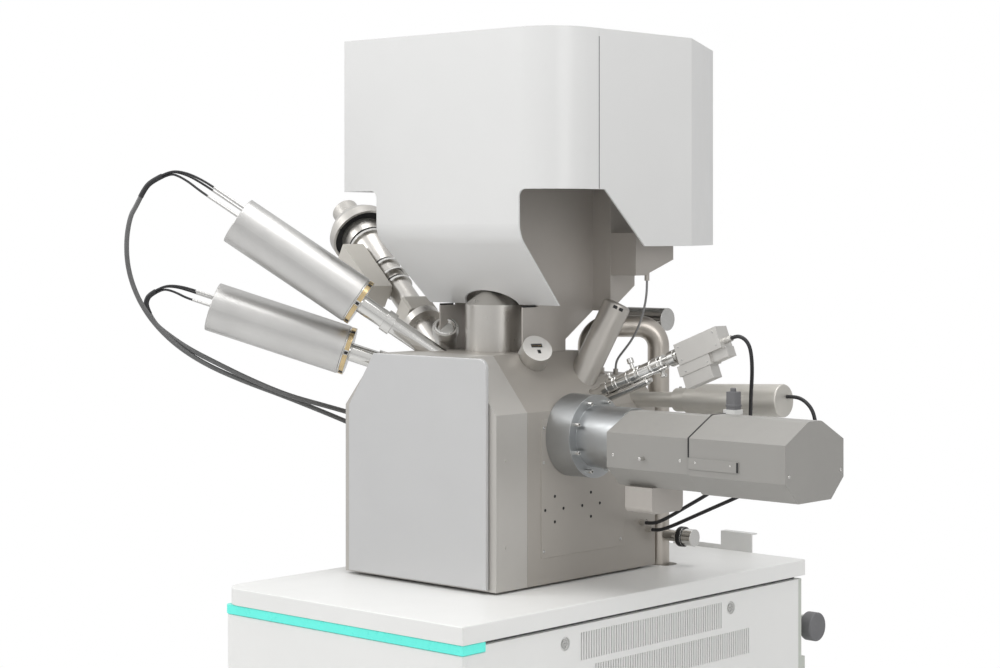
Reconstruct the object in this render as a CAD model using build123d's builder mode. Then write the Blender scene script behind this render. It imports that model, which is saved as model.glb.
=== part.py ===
from build123d import *
from math import cos, radians, sin, tan
import os

# Scanning electron microscope with an ion column, on its cabinet table.
# Millimetres, +Z up, floor at z = 0. The beam axis is the reference of every plan position,
# and the table top is the reference of every height above it.

os.makedirs("parts", exist_ok=True)

# Reference lines of the whole instrument
beam_x = -75.3
beam_y = -69.5
table_top_z = 760.0
touch_gap = 0.3
running_gap = 0.5

# Cabinet and table
table_left = 287.0
table_right = 413.0
table_front = 542.0
table_rear = 598.0
table_thickness = 36.0
table_corner_radius = 50.0
table_edge_radius = 3.0
panel_inset = 6.0
panel_thickness = 12.0
panel_top_gap = 8.0
panel_bottom_z = 95.0
post_size = 40.0
rail_height = 40.0
foot_height = 60.0
foot_pad_radius = 30.0
foot_stem_radius = 8.0
led_height = 18.0
led_return = 64.0
led_depth = 10.0
led_gap = 2.0
vent_slit_width = 3.6
vent_slit_pitch = 8.0
vent_height = 56.0
fastener_radius = 9.0
fastener_recess = 4.0
rear_cover_thickness = 14.0
rear_cover_top_z = 537.0

# Isolation stand and pump below the chamber
stand_plate_thickness = 20.0
stand_plate_z = 640.0
isolator_height = 60.0
isolator_radius = 36.0
leg_radius = 20.0
leg_x = 185.0
leg_front_y = -110.0
leg_rear_y = 250.0
leg_clearance = 3.0
pump_radius = 72.0
pump_height = 200.0
pump_y = 60.0
pump_clearance = 8.0

# Chamber
chamber_half_width = 224.0
chamber_front = -145.0
chamber_rear = 285.0
chamber_foot_gap = 5.0
chamber_shoulder = 370.0
chamber_top = 486.0
chamber_top_half_width = 127.0
chamber_step = 430.0
chamber_step_front = 133.0
chamber_step_back = 150.0
cavity_half_width = 180.0
cavity_floor = 47.0
cavity_roof = 440.0
cavity_shoulder = 350.0
cavity_roof_half_width = 104.0
cavity_rear = 245.0
cavity_upper_rear = 118.0
cavity_upper_z = 330.0

# Door
door_depth = 96.0
door_pocket = 60.0
door_cover_thickness = 8.0
door_cover_gap = 2.0
door_cover_inset = 20.0
door_cover_corner = 21.0
seal_width = 8.0
seal_depth = 6.0
seal_margin = 10.0
guide_radius = 8.0
guide_length = 310.0
guide_x = 203.0
guide_z = 18.0

# Side plate on the right wall
side_plate_thickness = 1.5
side_plate_front = -102.0
side_plate_rear = 175.0
side_plate_low = 60.0
side_plate_high = 352.0
screw_radius = 3.2
screw_height = 1.6

# Tilt axis, flange and drive
tilt_z = 315.0
flange_radius = 88.0
flange_end = 290.0
hub_radius = 66.0
hub_end = 398.0
tilt_shaft_radius = 30.0
bolt_circle_radius = 77.0
bolt_count = 8
bolt_radius = 4.5
bolt_length = 14.0
drive_z = 302.0
drive_seam = 612.0
drive_end = 843.0
drive_half_width = 100.0
drive_half_height = 78.5
drive_side_half_height = 37.5
drive_top_half_width = 22.0
drive_bottom_half_width = 56.0
drive_wall = 3.0
cover_step = 4.0
strip_length = 122.0
strip_height = 22.0
strip_thickness = 2.0
strip_z = 289.0
motor_left = 427.0
motor_right = 497.0
motor_front = -72.0
motor_rear = 31.0
motor_low = 174.0

# Specimen stage
cradle_wall_x = 140.0
cradle_wall_thickness = 16.0
cradle_half_depth = 52.0
cradle_floor_z = 150.0
cradle_floor_thickness = 16.0
cradle_top_z = 347.0
cradle_left = 120.0
z_plate_z = 196.0
z_plate_half_length = 100.0
stage_plate_thickness = 12.0
z_back_thickness = 14.0
z_back_low = 174.0
z_back_high = 300.0
stage_half_depth = 50.0
y_plate_half_length = 95.0
x_plate_half_length = 60.0
turntable_radius = 50.0
turntable_height = 16.0
holder_radius = 44.0
holder_height = 12.0
stub_hole_radius = 1.6
stub_hole_depth = 9.0
stub_circle_radius = 27.0
stub_count = 6

# Electron column and its covers
column_radius = 66.5
column_shoulder_z = 588.0
column_neck_z = 620.0
column_neck_radius = 30.0
lens_radius = 60.0
lens_tip_radius = 14.0
lens_tip_z = 322.0
column_top_z = 760.0
gun_radius = 110.0
gun_arm_radius = 30.0
gun_arm_reach = 150.0
gun_arm_z = 975.0
ion_pump_width = 120.0
ion_pump_depth = 110.0
ion_pump_height = 160.0
shroud_half_width = 315.0
shroud_front_y = -159.0
shroud_right_radius = 103.0
shroud_left_radius = 16.0
shroud_seam_y = -20.0
shroud_side_rear = 300.0
shroud_rear_y = 605.0
shroud_rear_half_width = 147.0
shroud_top = 1177.0
shroud_wall = 4.0
shroud_front_low = 838.0
shroud_side_low = 717.0
shroud_slope_front = 0.0
shroud_slope_rear = 135.0
skirt_top = 740.0
skirt_bottom = 589.0
skirt_top_half_width = 212.0
skirt_bottom_half_width = 192.0
skirt_arch_half_width = 79.0
skirt_arch_height = 31.0
inner_half_width = 125.0
inner_front = -148.0
inner_step_y = 187.0
inner_rear_half_width = 176.0
inner_rear = 272.0
inner_wall = 4.0
inner_top = 900.0
inner_slope_front = 93.0
inner_slope_low = 512.0
inner_slope_high = 628.0

# Ion column
ion_bearing = 165.0
ion_elevation = 35.0
ion_nose_start = 100.0
ion_nose_radius = 14.0
ion_body_radius = 30.0
ion_cone_start = 600.0
ion_cone_end = 735.0
ion_cone_radius = 52.0
ion_head_radius = 77.0
ion_rim_length = 24.0
ion_shoulder_radius = 66.0
ion_shoulder_length = 18.0
ion_neck_radius = 44.0
ion_head_length = 66.0
ion_cap_radius = 33.0
ion_cap_length = 44.0
ion_box_width = 62.0
ion_box_depth = 56.0
ion_box_length = 170.0
ion_box_start = 545.0

# Two gas injectors on the left
injector_bearing = 222.3
injector_radius = 55.0
injector_ring_length = 15.0
injector_neck_radius = 20.5
injector_collar_radius = 25.0
injector_collar_length = 22.0
injector_nozzle_radius = 6.0
rod_radius = 3.0

# Ports and pipes on the right and at the rear
port_gap = 0.3
pipe_radius = 24.5
pipe_wall = 2.0
pipe_bend = 46.0
pipe_x = 200.0
pipe_y = 328.0
pipe_height = 535.0
pipe_far_x = 88.0
pipe_far_y = 216.0
pipe_flange_radius = 36.0
pipe_flange_height = 12.0
slot_length = 66.0
slot_width = 58.0


def at(x, y, z):
    """Position given from the beam axis and the table top."""
    return (beam_x + x, beam_y + y, table_top_z + z)


def block(x0, x1, y0, y1, z0, z1, mode=Mode.ADD):
    """Box between two corners, from the beam axis and the table top."""
    with Locations(at((x0 + x1) / 2, (y0 + y1) / 2, (z0 + z1) / 2)):
        Box(x1 - x0, y1 - y0, z1 - z0, mode=mode)


def rod(plane, radius, start, end, mode=Mode.ADD):
    """Round bar along the normal of a plane."""
    with BuildSketch(plane.offset(start)) as section:
        Circle(radius)
    extrude(section.sketch, amount=end - start, mode=mode)


def cone(plane, start_radius, end_radius, start, end, mode=Mode.ADD):
    """Tapered bar along the normal of a plane."""
    with BuildSketch(plane.offset(start)) as near:
        Circle(start_radius)
    with BuildSketch(plane.offset(end)) as far:
        Circle(end_radius)
    loft([near.sketch, far.sketch], mode=mode)


def side_profile(points, x0, x1, mode=Mode.ADD):
    """Outline in the vertical plane through Y, extruded from x0 to x1."""
    with BuildSketch(Plane(origin=at(x0, 0, 0), x_dir=(0, 1, 0), z_dir=(1, 0, 0))) as outline:
        with BuildLine():
            Polyline(*points, close=True)
        make_face()
    extrude(outline.sketch, amount=x1 - x0, mode=mode)


def front_profile(points, y0, y1, mode=Mode.ADD):
    """Outline in the vertical plane through X, extruded from y0 back to y1."""
    with BuildSketch(Plane(origin=at(0, y1, 0), x_dir=(1, 0, 0), z_dir=(0, -1, 0))) as outline:
        with BuildLine():
            Polyline(*points, close=True)
        make_face()
    extrude(outline.sketch, amount=y1 - y0, mode=mode)


def upright(x, y, z=0.0):
    """Plane with its normal straight up."""
    return Plane(origin=at(x, y, z))


def along_x(x, y, z):
    """Plane with its normal along +X."""
    return Plane(origin=at(x, y, z), x_dir=(0, 1, 0), z_dir=(1, 0, 0))


def along_y(x, y, z):
    """Plane with its normal along +Y."""
    return Plane(origin=at(x, y, z), x_dir=(-1, 0, 0), z_dir=(0, 1, 0))


def aimed(x, y, z, bearing, elevation):
    """Plane whose normal leaves a point at a bearing and an elevation."""
    flat = cos(radians(elevation))
    out = (flat * cos(radians(bearing)), flat * sin(radians(bearing)), sin(radians(elevation)))
    level = (-sin(radians(bearing)), cos(radians(bearing)), 0)
    return Plane(origin=at(x, y, z), x_dir=level, z_dir=out)


def save(piece, name):
    piece.part.label = name
    export_step(piece.part, f"parts/{name}.step")


# Axes of everything that enters the chamber at an angle
ion_axis = aimed(0, 0, tilt_z, ion_bearing, ion_elevation)
injectors = {
    "upper": {
        "axis": aimed(0, 0, 390, injector_bearing, 34.0),
        "nozzle": 82, "inside": 100, "start": 356, "end": 686,
        "rods": [(6, 31), (-14, 23), (12, 8)], "rod_length": 84,
    },
    "lower": {
        "axis": aimed(-34, 37, 374, injector_bearing, 18.2),
        "nozzle": 60, "inside": 120, "start": 340, "end": 664,
        "rods": [(6, 22), (-14, 16), (12, 1)], "rod_length": 46,
    },
}
camera_axis = aimed(-46.3, 52.5, 311.2, -25.0, 38.8)
camera_radius = 33.0
camera_start = 212.0
camera_end = 300.0
oblique_axis = aimed(165, 112, 440, 49.4, 64.1)
oblique_radius = 31.0
oblique_start = -25.0
oblique_end = 168.0
detector_elevation = 21.4
detector_y = 96.0
detector_axis = aimed(210, detector_y, 398.5, 0.0, detector_elevation)
detector_radius = 11.0
rear_port_y = 228.0
rear_port_axis = aimed(190, rear_port_y, 375, 0.0, 2.6)
rear_neck_radius = 17.0
rear_body_radius = 35.0

# Cabinet
slab_low = -table_thickness
panel_left = -table_left + panel_inset
panel_right = table_right - panel_inset
panel_front = -table_front + panel_inset
panel_rear = table_rear - panel_inset
frame_left = panel_left + panel_thickness
frame_right = panel_right - panel_thickness
frame_front = panel_front + panel_thickness
frame_rear = panel_rear - panel_thickness
panel_top = slab_low - panel_top_gap
panel_low = panel_bottom_z - table_top_z
led_top = slab_low - led_gap
led_low = led_top - led_height
frame_low = foot_height - table_top_z
beam_top = stand_plate_z - isolator_height - table_top_z
beam_rows = (leg_front_y, leg_rear_y)

with BuildPart() as table_top:
    block(-table_left, table_right, -table_front, table_rear, slab_low, 0)
    corner = table_top.edges().filter_by(Axis.Z).group_by(Axis.X)[0].sort_by(Axis.Y)[0]
    fillet(corner, table_corner_radius)
    fillet(table_top.faces().sort_by(Axis.Z)[-1].edges(), table_edge_radius)
    with BuildSketch(upright(pipe_x + 6, pipe_y, slab_low)):
        SlotOverall(slot_length + 12, slot_width)
    extrude(amount=table_thickness, mode=Mode.SUBTRACT)
    rod(upright(0, pump_y), pump_radius + pump_clearance, slab_low, 0, Mode.SUBTRACT)
    for leg_side in (-leg_x, leg_x):
        for leg_row in beam_rows:
            rod(upright(leg_side, leg_row), leg_radius + leg_clearance, slab_low, 0, Mode.SUBTRACT)
save(table_top, "table_top")

with BuildPart() as base_frame:
    for post_left in (frame_left, frame_right - post_size):
        for post_front in (frame_front, frame_rear - post_size):
            block(post_left, post_left + post_size, post_front, post_front + post_size, frame_low, slab_low)
        for rail_low in (frame_low, beam_top - rail_height, slab_low - rail_height):
            block(post_left, post_left + post_size, frame_front, frame_rear, rail_low, rail_low + rail_height)
    for rail_front in (frame_front, frame_rear - post_size):
        for rail_low in (frame_low, slab_low - rail_height):
            block(frame_left, frame_right, rail_front, rail_front + post_size, rail_low, rail_low + rail_height)
    for beam_row in beam_rows:
        block(frame_left, frame_right, beam_row - post_size / 2, beam_row + post_size / 2,
              beam_top - rail_height, beam_top)
save(base_frame, "base_frame")

foot_spots = [
    (side_x, row_y)
    for side_x in (frame_left + post_size / 2, frame_right - post_size / 2)
    for row_y in (frame_front + post_size / 2, frame_rear - post_size / 2)
]
foot_pad_height = 14.0
with BuildPart() as levelling_feet:
    for foot_x, foot_y in foot_spots:
        rod(upright(foot_x, foot_y, -table_top_z), foot_pad_radius, 0, foot_pad_height)
        rod(upright(foot_x, foot_y, -table_top_z), foot_stem_radius, foot_pad_height, foot_height)
        rod(upright(foot_x, foot_y, -table_top_z), foot_stem_radius * 2, foot_height - 20, foot_height - 8)
save(levelling_feet, "levelling_feet")

led_left = -table_left + 3
led_right = table_right - 3
led_front = -table_front + 3
front_panel_top = led_low - led_gap
with BuildPart() as led_strip:
    block(led_left, led_right, led_front, led_front + led_depth, led_low, led_top)
    block(led_right - led_depth, led_right, led_front, led_front + led_return, led_low, led_top)
    block(led_left, led_left + led_depth, led_front, led_front + led_return, led_low, led_top)
    fillet(led_strip.edges().filter_by(Axis.Z).group_by(Axis.X)[0].sort_by(Axis.Y)[0], led_depth * 1.6)
save(led_strip, "led_strip")

with BuildPart() as front_panel:
    block(panel_left, panel_right, panel_front, frame_front, panel_low, front_panel_top)
    fillet(front_panel.edges().filter_by(Axis.Z).group_by(Axis.X)[0].sort_by(Axis.Y)[0], panel_thickness * 0.9)
save(front_panel, "front_panel")

led_notch_rear = led_front + led_return + led_gap
fastener_spots = [(-237.0, -76.0), (321.0, -76.0), (-237.0, -560.0), (321.0, -560.0)]
vent_rows = [(-193.0, 291.0, -60.0), (-145.0, 391.0, -129.0)]


def side_panel(panel_x, outward):
    """Cassette panel of one side, with a notch for the light strip and fastener recesses."""
    inner, outer = sorted((panel_x, panel_x + outward * panel_thickness))
    block(inner, outer, frame_front, frame_rear, panel_low, panel_top)
    block(inner, outer, frame_front, led_notch_rear, front_panel_top, panel_top, Mode.SUBTRACT)
    face_x = panel_x + outward * panel_thickness
    for spot_y, spot_z in fastener_spots:
        recess_start, recess_end = sorted((0, -outward * fastener_recess))
        rod(along_x(face_x, spot_y, spot_z), fastener_radius * 1.5, recess_start, recess_end, Mode.SUBTRACT)


with BuildPart() as right_panel:
    side_panel(frame_right, 1)
    for vent_front, vent_rear, vent_top in vent_rows:
        slit_count = int((vent_rear - vent_front) / vent_slit_pitch)
        with BuildSketch(along_x(frame_right, (vent_front + vent_rear) / 2, vent_top - vent_height / 2)):
            with GridLocations(vent_slit_pitch, 1, slit_count, 1):
                Rectangle(vent_slit_width, vent_height)
        extrude(amount=panel_thickness, mode=Mode.SUBTRACT)
save(right_panel, "right_panel")

with BuildPart() as left_panel:
    side_panel(frame_left, -1)
save(left_panel, "left_panel")

# Rear cover with the ear that carries the knob's shaft
knob_z = -162.0
knob_y = 648.0
knob_left = 385.0
knob_length = 30.0
knob_radius = 33.0
knob_edge_radius = 4.0
knob_shaft_radius = 8.0
knob_shaft_reach = 6.0
ear_right = 370.0
ear_left = ear_right - 10.0
ear_half_height = 20.0
with BuildPart() as rear_panel:
    block(panel_left, panel_right, frame_rear, panel_rear, rear_cover_top_z - table_top_z, panel_top)
    block(panel_left, panel_right, frame_rear, panel_rear + rear_cover_thickness,
          panel_low, rear_cover_top_z - table_top_z)
    block(ear_left, ear_right, panel_rear, knob_y + ear_half_height, knob_z - ear_half_height,
          knob_z + ear_half_height)
    rod(along_x(0, knob_y, knob_z), knob_shaft_radius + touch_gap, ear_left, ear_right, Mode.SUBTRACT)
save(rear_panel, "rear_panel")

with BuildPart() as panel_fasteners:
    for spot_y, spot_z in fastener_spots:
        rod(along_x(panel_right, spot_y, spot_z), fastener_radius, -fastener_recess, 0.5)
        rod(along_x(panel_left, spot_y, spot_z), fastener_radius, -0.5, fastener_recess)
save(panel_fasteners, "panel_fasteners")

# Cable bracket on the table's rear edge, and the knob
bracket_left = 175.0
bracket_right = 264.0
bracket_top = 43.0
bracket_low = -90.0
bracket_thickness = 3.0
bracket_lip = 22.0
rail_left = 33.0
rail_top = 10.0
with BuildPart() as rear_bracket:
    block(bracket_left, bracket_right, table_rear, table_rear + bracket_thickness, bracket_low, bracket_top)
    block(bracket_left, bracket_right, table_rear, table_rear + bracket_lip,
          bracket_top - bracket_thickness, bracket_top)
    block(rail_left, bracket_left, table_rear, table_rear + bracket_thickness, slab_low, rail_top)
save(rear_bracket, "rear_bracket")

with BuildPart() as rear_knob:
    rod(along_x(0, knob_y, knob_z), knob_radius, knob_left, knob_left + knob_length)
    fillet(rear_knob.edges().filter_by(GeomType.CIRCLE), knob_edge_radius)
    rod(along_x(0, knob_y, knob_z), knob_shaft_radius, ear_left - knob_shaft_reach, knob_left)
save(rear_knob, "rear_knob")

# Isolation stand and turbo pump
stand_low = stand_plate_z - table_top_z
with BuildPart() as isolators:
    for leg_side in (-leg_x, leg_x):
        for leg_row in beam_rows:
            rod(upright(leg_side, leg_row), isolator_radius, beam_top, stand_low)
save(isolators, "isolators")

with BuildPart() as isolation_stand:
    block(-leg_x - 40, leg_x + 40, leg_front_y - 40, leg_rear_y + 40, stand_low, stand_low + stand_plate_thickness)
    rod(upright(0, pump_y), pump_radius + pump_clearance, stand_low, stand_low + stand_plate_thickness,
        Mode.SUBTRACT)
    for leg_side in (-leg_x, leg_x):
        for leg_row in beam_rows:
            rod(upright(leg_side, leg_row), leg_radius, stand_low + stand_plate_thickness, chamber_foot_gap)
save(isolation_stand, "isolation_stand")

with BuildPart() as turbo_pump:
    rod(upright(0, pump_y), pump_radius, chamber_foot_gap - pump_height, chamber_foot_gap)
    rod(upright(0, pump_y), pump_radius * 0.75, chamber_foot_gap - pump_height - 40, chamber_foot_gap - pump_height)
    rod(upright(0, pump_y), pump_radius - 10, chamber_foot_gap - 40, chamber_foot_gap, Mode.SUBTRACT)
save(turbo_pump, "turbo_pump")

# Chamber body
outer_outline = [
    (-chamber_half_width, chamber_foot_gap),
    (chamber_half_width, chamber_foot_gap),
    (chamber_half_width, chamber_shoulder),
    (chamber_top_half_width, chamber_top),
    (-chamber_top_half_width, chamber_top),
    (-chamber_half_width, chamber_shoulder),
]


def cavity_outline(grow=0.0):
    """Section of the chamber's hollow, grown by an even margin."""
    slant = grow * 0.45
    return [
        (-cavity_half_width - grow, cavity_floor - grow),
        (cavity_half_width + grow, cavity_floor - grow),
        (cavity_half_width + grow, cavity_shoulder + slant),
        (cavity_roof_half_width + slant, cavity_roof + grow),
        (-cavity_roof_half_width - slant, cavity_roof + grow),
        (-cavity_half_width - grow, cavity_shoulder + slant),
    ]


guide_spots = [(-guide_x, guide_z), (guide_x, guide_z)]
plate_face = chamber_half_width + side_plate_thickness

# Glands that the cables and the thin hose enter, as Y and Z on the walls
gland_length = 14.0
left_gland_radius = 9.0
left_gland_spots = [(84.0, 227.6), (104.0, 256.0)]
right_gland_radius = 7.0
right_gland_spots = [(234.5, 103.6), (257.8, 86.0)]
hose_gland_x = 159.6
hose_gland_y = 225.0
hose_gland_radius = 5.5
hose_gland_length = 12.0

with BuildPart() as chamber_body:
    front_profile(outer_outline, chamber_front, chamber_rear)
    side_profile(
        [
            (chamber_step_front, chamber_top + 1),
            (chamber_step_front, chamber_top),
            (chamber_step_back, chamber_step),
            (chamber_rear + 1, chamber_step),
            (chamber_rear + 1, chamber_top + 1),
        ],
        -chamber_half_width, chamber_half_width, Mode.SUBTRACT)
    front_profile(cavity_outline(), chamber_front, cavity_upper_rear, Mode.SUBTRACT)
    block(-cavity_half_width, cavity_half_width, cavity_upper_rear, cavity_rear,
          cavity_floor, cavity_upper_z, Mode.SUBTRACT)
    rod(upright(0, pump_y), pump_radius - 10, chamber_foot_gap, cavity_floor, Mode.SUBTRACT)
    rod(upright(0, 0), lens_radius + port_gap, cavity_roof, chamber_top, Mode.SUBTRACT)
    rod(along_x(0, 0, tilt_z), tilt_shaft_radius + running_gap, cavity_half_width, chamber_half_width,
        Mode.SUBTRACT)
    rod(ion_axis, ion_body_radius + port_gap, 150, 320, Mode.SUBTRACT)
    for injector in injectors.values():
        rod(injector["axis"], injector_neck_radius + port_gap, injector["inside"] - 4, 420, Mode.SUBTRACT)
        rod(injector["axis"], injector_nozzle_radius + port_gap, injector["nozzle"] - 30, injector["inside"],
            Mode.SUBTRACT)
    rod(camera_axis, camera_radius + port_gap, camera_start, camera_end, Mode.SUBTRACT)
    rod(oblique_axis, oblique_radius + port_gap, oblique_start, oblique_end, Mode.SUBTRACT)
    rod(detector_axis, detector_radius + port_gap, -110, 60, Mode.SUBTRACT)
    rod(rear_port_axis, rear_neck_radius + port_gap, -60, 60, Mode.SUBTRACT)
    for spot_x, spot_z in guide_spots:
        rod(along_y(spot_x, chamber_front, spot_z), guide_radius + touch_gap, 0, guide_length + 6, Mode.SUBTRACT)
    block(chamber_half_width, plate_face, side_plate_front, side_plate_rear, side_plate_low, side_plate_high)
    rod(along_x(0, 0, tilt_z), flange_radius + touch_gap, chamber_half_width, plate_face, Mode.SUBTRACT)
    for gland_y, gland_z in left_gland_spots:
        rod(along_x(-chamber_half_width, gland_y, gland_z), left_gland_radius, -gland_length, 0)
    for gland_y, gland_z in right_gland_spots:
        rod(along_x(chamber_half_width, gland_y, gland_z), right_gland_radius, 0, gland_length)
    rod(upright(hose_gland_x, hose_gland_y, chamber_step), hose_gland_radius, 0, hose_gland_length)
save(chamber_body, "chamber_body")

# Door block, cover plate, seal and guides
door_rear = chamber_front - running_gap
door_front = door_rear - door_depth
door_screw_inset = 30.0
door_screw_heights = (95.0, 275.0)
with BuildPart() as door_seal:
    front_profile(cavity_outline(seal_margin + seal_width), door_rear - seal_depth, door_rear)
    front_profile(cavity_outline(seal_margin), door_rear - seal_depth, door_rear, Mode.SUBTRACT)
save(door_seal, "door_seal")

with BuildPart() as chamber_door:
    front_profile(outer_outline, door_front, door_rear)
    front_profile(cavity_outline(), door_rear - door_pocket, door_rear, Mode.SUBTRACT)
    add(door_seal.part, mode=Mode.SUBTRACT)
    for screw_z in door_screw_heights:
        rod(along_x(chamber_half_width, door_front + door_screw_inset, screw_z), screw_radius, 0, screw_height)
save(chamber_door, "chamber_door")

cover_half_width = chamber_half_width - door_cover_inset
cover_rear = door_front - door_cover_gap
cover_low = chamber_foot_gap + 4
spacer_radius = 12.0
with BuildPart() as door_cover:
    front_profile(
        [
            (-cover_half_width, cover_low),
            (cover_half_width, cover_low),
            (cover_half_width, chamber_top),
            (-chamber_top_half_width, chamber_top),
            (-cover_half_width, chamber_shoulder),
        ],
        cover_rear - door_cover_thickness, cover_rear)
    fillet(door_cover.edges().filter_by(Axis.Y).group_by(Axis.X)[-1].sort_by(Axis.Z)[-1], door_cover_corner)
    fillet(door_cover.faces().sort_by(Axis.Y)[0].edges(), 1.5)
    for spacer_x in (-cover_half_width + 40, cover_half_width - 40):
        for spacer_z in (cover_low + 40, chamber_shoulder - 40):
            rod(along_y(spacer_x, cover_rear, spacer_z), spacer_radius, 0, door_cover_gap)
save(door_cover, "door_cover")

with BuildPart() as door_guides:
    for spot_x, spot_z in guide_spots:
        rod(along_y(spot_x, door_rear, spot_z), guide_radius, 0, guide_length)
save(door_guides, "door_guides")

# Tilt flange with its hub, bolts and the drive's covers
with BuildPart() as tilt_flange:
    rod(along_x(0, 0, tilt_z), flange_radius, chamber_half_width, flange_end)
    rod(along_x(0, 0, tilt_z), hub_radius, flange_end, hub_end)
    rod(along_x(0, 0, tilt_z), tilt_shaft_radius + running_gap, chamber_half_width, hub_end, Mode.SUBTRACT)
save(tilt_flange, "tilt_flange")

# Flange bolts, and the screws of the side plate and the door block
plate_screws = [(-95.0, 335.0), (-95.0, 262.0), (-95.0, 75.0), (160.0, 75.0), (160.0, 335.0), (160.0, 200.0)]
with BuildPart() as chamber_screws:
    with BuildSketch(along_x(flange_end, 0, tilt_z)):
        with PolarLocations(bolt_circle_radius, bolt_count, start_angle=180 / bolt_count):
            Circle(bolt_radius)
    extrude(amount=bolt_length)
    for screw_y, screw_z in plate_screws:
        rod(along_x(plate_face, screw_y, screw_z), screw_radius, 0, screw_height)
save(chamber_screws, "chamber_screws")


def drive_shell(x0, x1, shrink, mode=Mode.ADD):
    """Length of the drive's eight-sided section along the tilt axis."""
    half_width = drive_half_width - shrink
    top = drive_z + drive_half_height - shrink
    low = drive_z - drive_half_height + shrink
    slant = shrink * 0.4
    with BuildSketch(along_x(x0, 0, 0)) as section:
        with BuildLine():
            Polyline(
                (drive_top_half_width - slant, top),
                (half_width, drive_z + drive_side_half_height - slant),
                (half_width, drive_z - drive_side_half_height + slant),
                (drive_bottom_half_width - slant, low),
                (-drive_bottom_half_width + slant, low),
                (-half_width, drive_z - drive_side_half_height + slant),
                (-half_width, drive_z + drive_side_half_height - slant),
                (-drive_top_half_width + slant, top),
                close=True)
        make_face()
    extrude(section.sketch, amount=x1 - x0, mode=mode)


with BuildPart() as drive_cover_inner:
    drive_shell(hub_end, drive_seam + 20, cover_step)
    drive_shell(hub_end + drive_wall, drive_seam + 20, cover_step + drive_wall, Mode.SUBTRACT)
    rod(along_x(0, 0, tilt_z), tilt_shaft_radius + running_gap, hub_end, hub_end + drive_wall, Mode.SUBTRACT)
save(drive_cover_inner, "drive_cover_inner")

with BuildPart() as drive_cover_outer:
    drive_shell(drive_seam, drive_end, 0)
    drive_shell(drive_seam, drive_end - drive_wall, cover_step - touch_gap, Mode.SUBTRACT)
    top_edges = drive_cover_outer.edges().filter_by(Axis.X).group_by(Axis.Z)[-1]
    fillet(top_edges, drive_top_half_width * 1.2)
    block(drive_seam, drive_seam + strip_length, -drive_half_width - strip_thickness, -drive_half_width,
          strip_z - strip_height / 2, strip_z + strip_height / 2)
save(drive_cover_outer, "drive_cover_outer")

motor_top = drive_z - drive_half_height + cover_step
with BuildPart() as tilt_motor:
    block(motor_left, motor_right, motor_front, motor_rear, motor_low, motor_top)
    fillet(tilt_motor.edges().filter_by(Axis.X).group_by(Axis.Z)[0], 14)
save(tilt_motor, "tilt_motor")

# Specimen stage: cradle, then Z, Y, X plates and the turntable
cradle_wall_end = cradle_wall_x + cradle_wall_thickness
with BuildPart() as tilt_cradle:
    block(cradle_wall_x, cradle_wall_end, -cradle_half_depth, cradle_half_depth, cradle_floor_z, cradle_top_z)
    block(-cradle_left, cradle_wall_end, -cradle_half_depth, cradle_half_depth,
          cradle_floor_z, cradle_floor_z + cradle_floor_thickness)
    rod(along_x(0, 0, tilt_z), tilt_shaft_radius, cradle_wall_end, hub_end - 8)
save(tilt_cradle, "tilt_cradle")

z_back_x = cradle_wall_x - touch_gap
with BuildPart() as z_carriage:
    block(z_back_x - z_back_thickness, z_back_x, -stage_half_depth + 6, stage_half_depth - 6, z_back_low, z_back_high)
    block(-z_plate_half_length, z_back_x, -stage_half_depth, stage_half_depth,
          z_plate_z, z_plate_z + stage_plate_thickness)
save(z_carriage, "z_carriage")

y_plate_z = z_plate_z + stage_plate_thickness + touch_gap
with BuildPart() as y_carriage:
    block(-y_plate_half_length, y_plate_half_length, -stage_half_depth, stage_half_depth,
          y_plate_z, y_plate_z + stage_plate_thickness)
save(y_carriage, "y_carriage")

x_plate_z = y_plate_z + stage_plate_thickness + touch_gap
with BuildPart() as x_carriage:
    block(-x_plate_half_length, x_plate_half_length, -stage_half_depth + 4, stage_half_depth - 4,
          x_plate_z, x_plate_z + stage_plate_thickness)
save(x_carriage, "x_carriage")

turntable_z = x_plate_z + stage_plate_thickness + touch_gap
holder_z = turntable_z + turntable_height
holder_top = holder_z + holder_height
with BuildPart() as turntable:
    rod(upright(0, 0), turntable_radius, turntable_z, holder_z)
    rod(upright(0, 0), holder_radius, holder_z, holder_top)
    with BuildSketch(upright(0, 0, holder_top)):
        Circle(stub_hole_radius)
        with PolarLocations(stub_circle_radius, stub_count):
            Circle(stub_hole_radius)
    extrude(amount=-stub_hole_depth, mode=Mode.SUBTRACT)
save(turntable, "turntable")

# Electron column: lens, gun and pumps
with BuildPart() as objective_column:
    rod(upright(0, 0), column_radius, chamber_top, column_shoulder_z)
    cone(upright(0, 0), column_radius, column_neck_radius, column_shoulder_z, column_neck_z)
    rod(upright(0, 0), column_neck_radius, column_neck_z, column_top_z)
    rod(upright(0, 0), lens_radius, cavity_roof, chamber_top)
    cone(upright(0, 0), lens_tip_radius, lens_radius, lens_tip_z, cavity_roof)
save(objective_column, "objective_column")

gun_top = shroud_top - shroud_wall - touch_gap
with BuildPart() as gun_housing:
    rod(upright(0, 0), gun_radius, column_top_z, gun_top)
    rod(along_x(0, 0, gun_arm_z), gun_arm_radius, -gun_arm_reach, gun_arm_reach)
    for pump_side in (-1, 1):
        near, far = sorted((pump_side * gun_arm_reach, pump_side * (gun_arm_reach + ion_pump_width)))
        block(near, far, -ion_pump_depth / 2, ion_pump_depth / 2,
              gun_arm_z - ion_pump_height / 2, gun_arm_z + ion_pump_height / 2)
save(gun_housing, "gun_housing")


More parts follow.
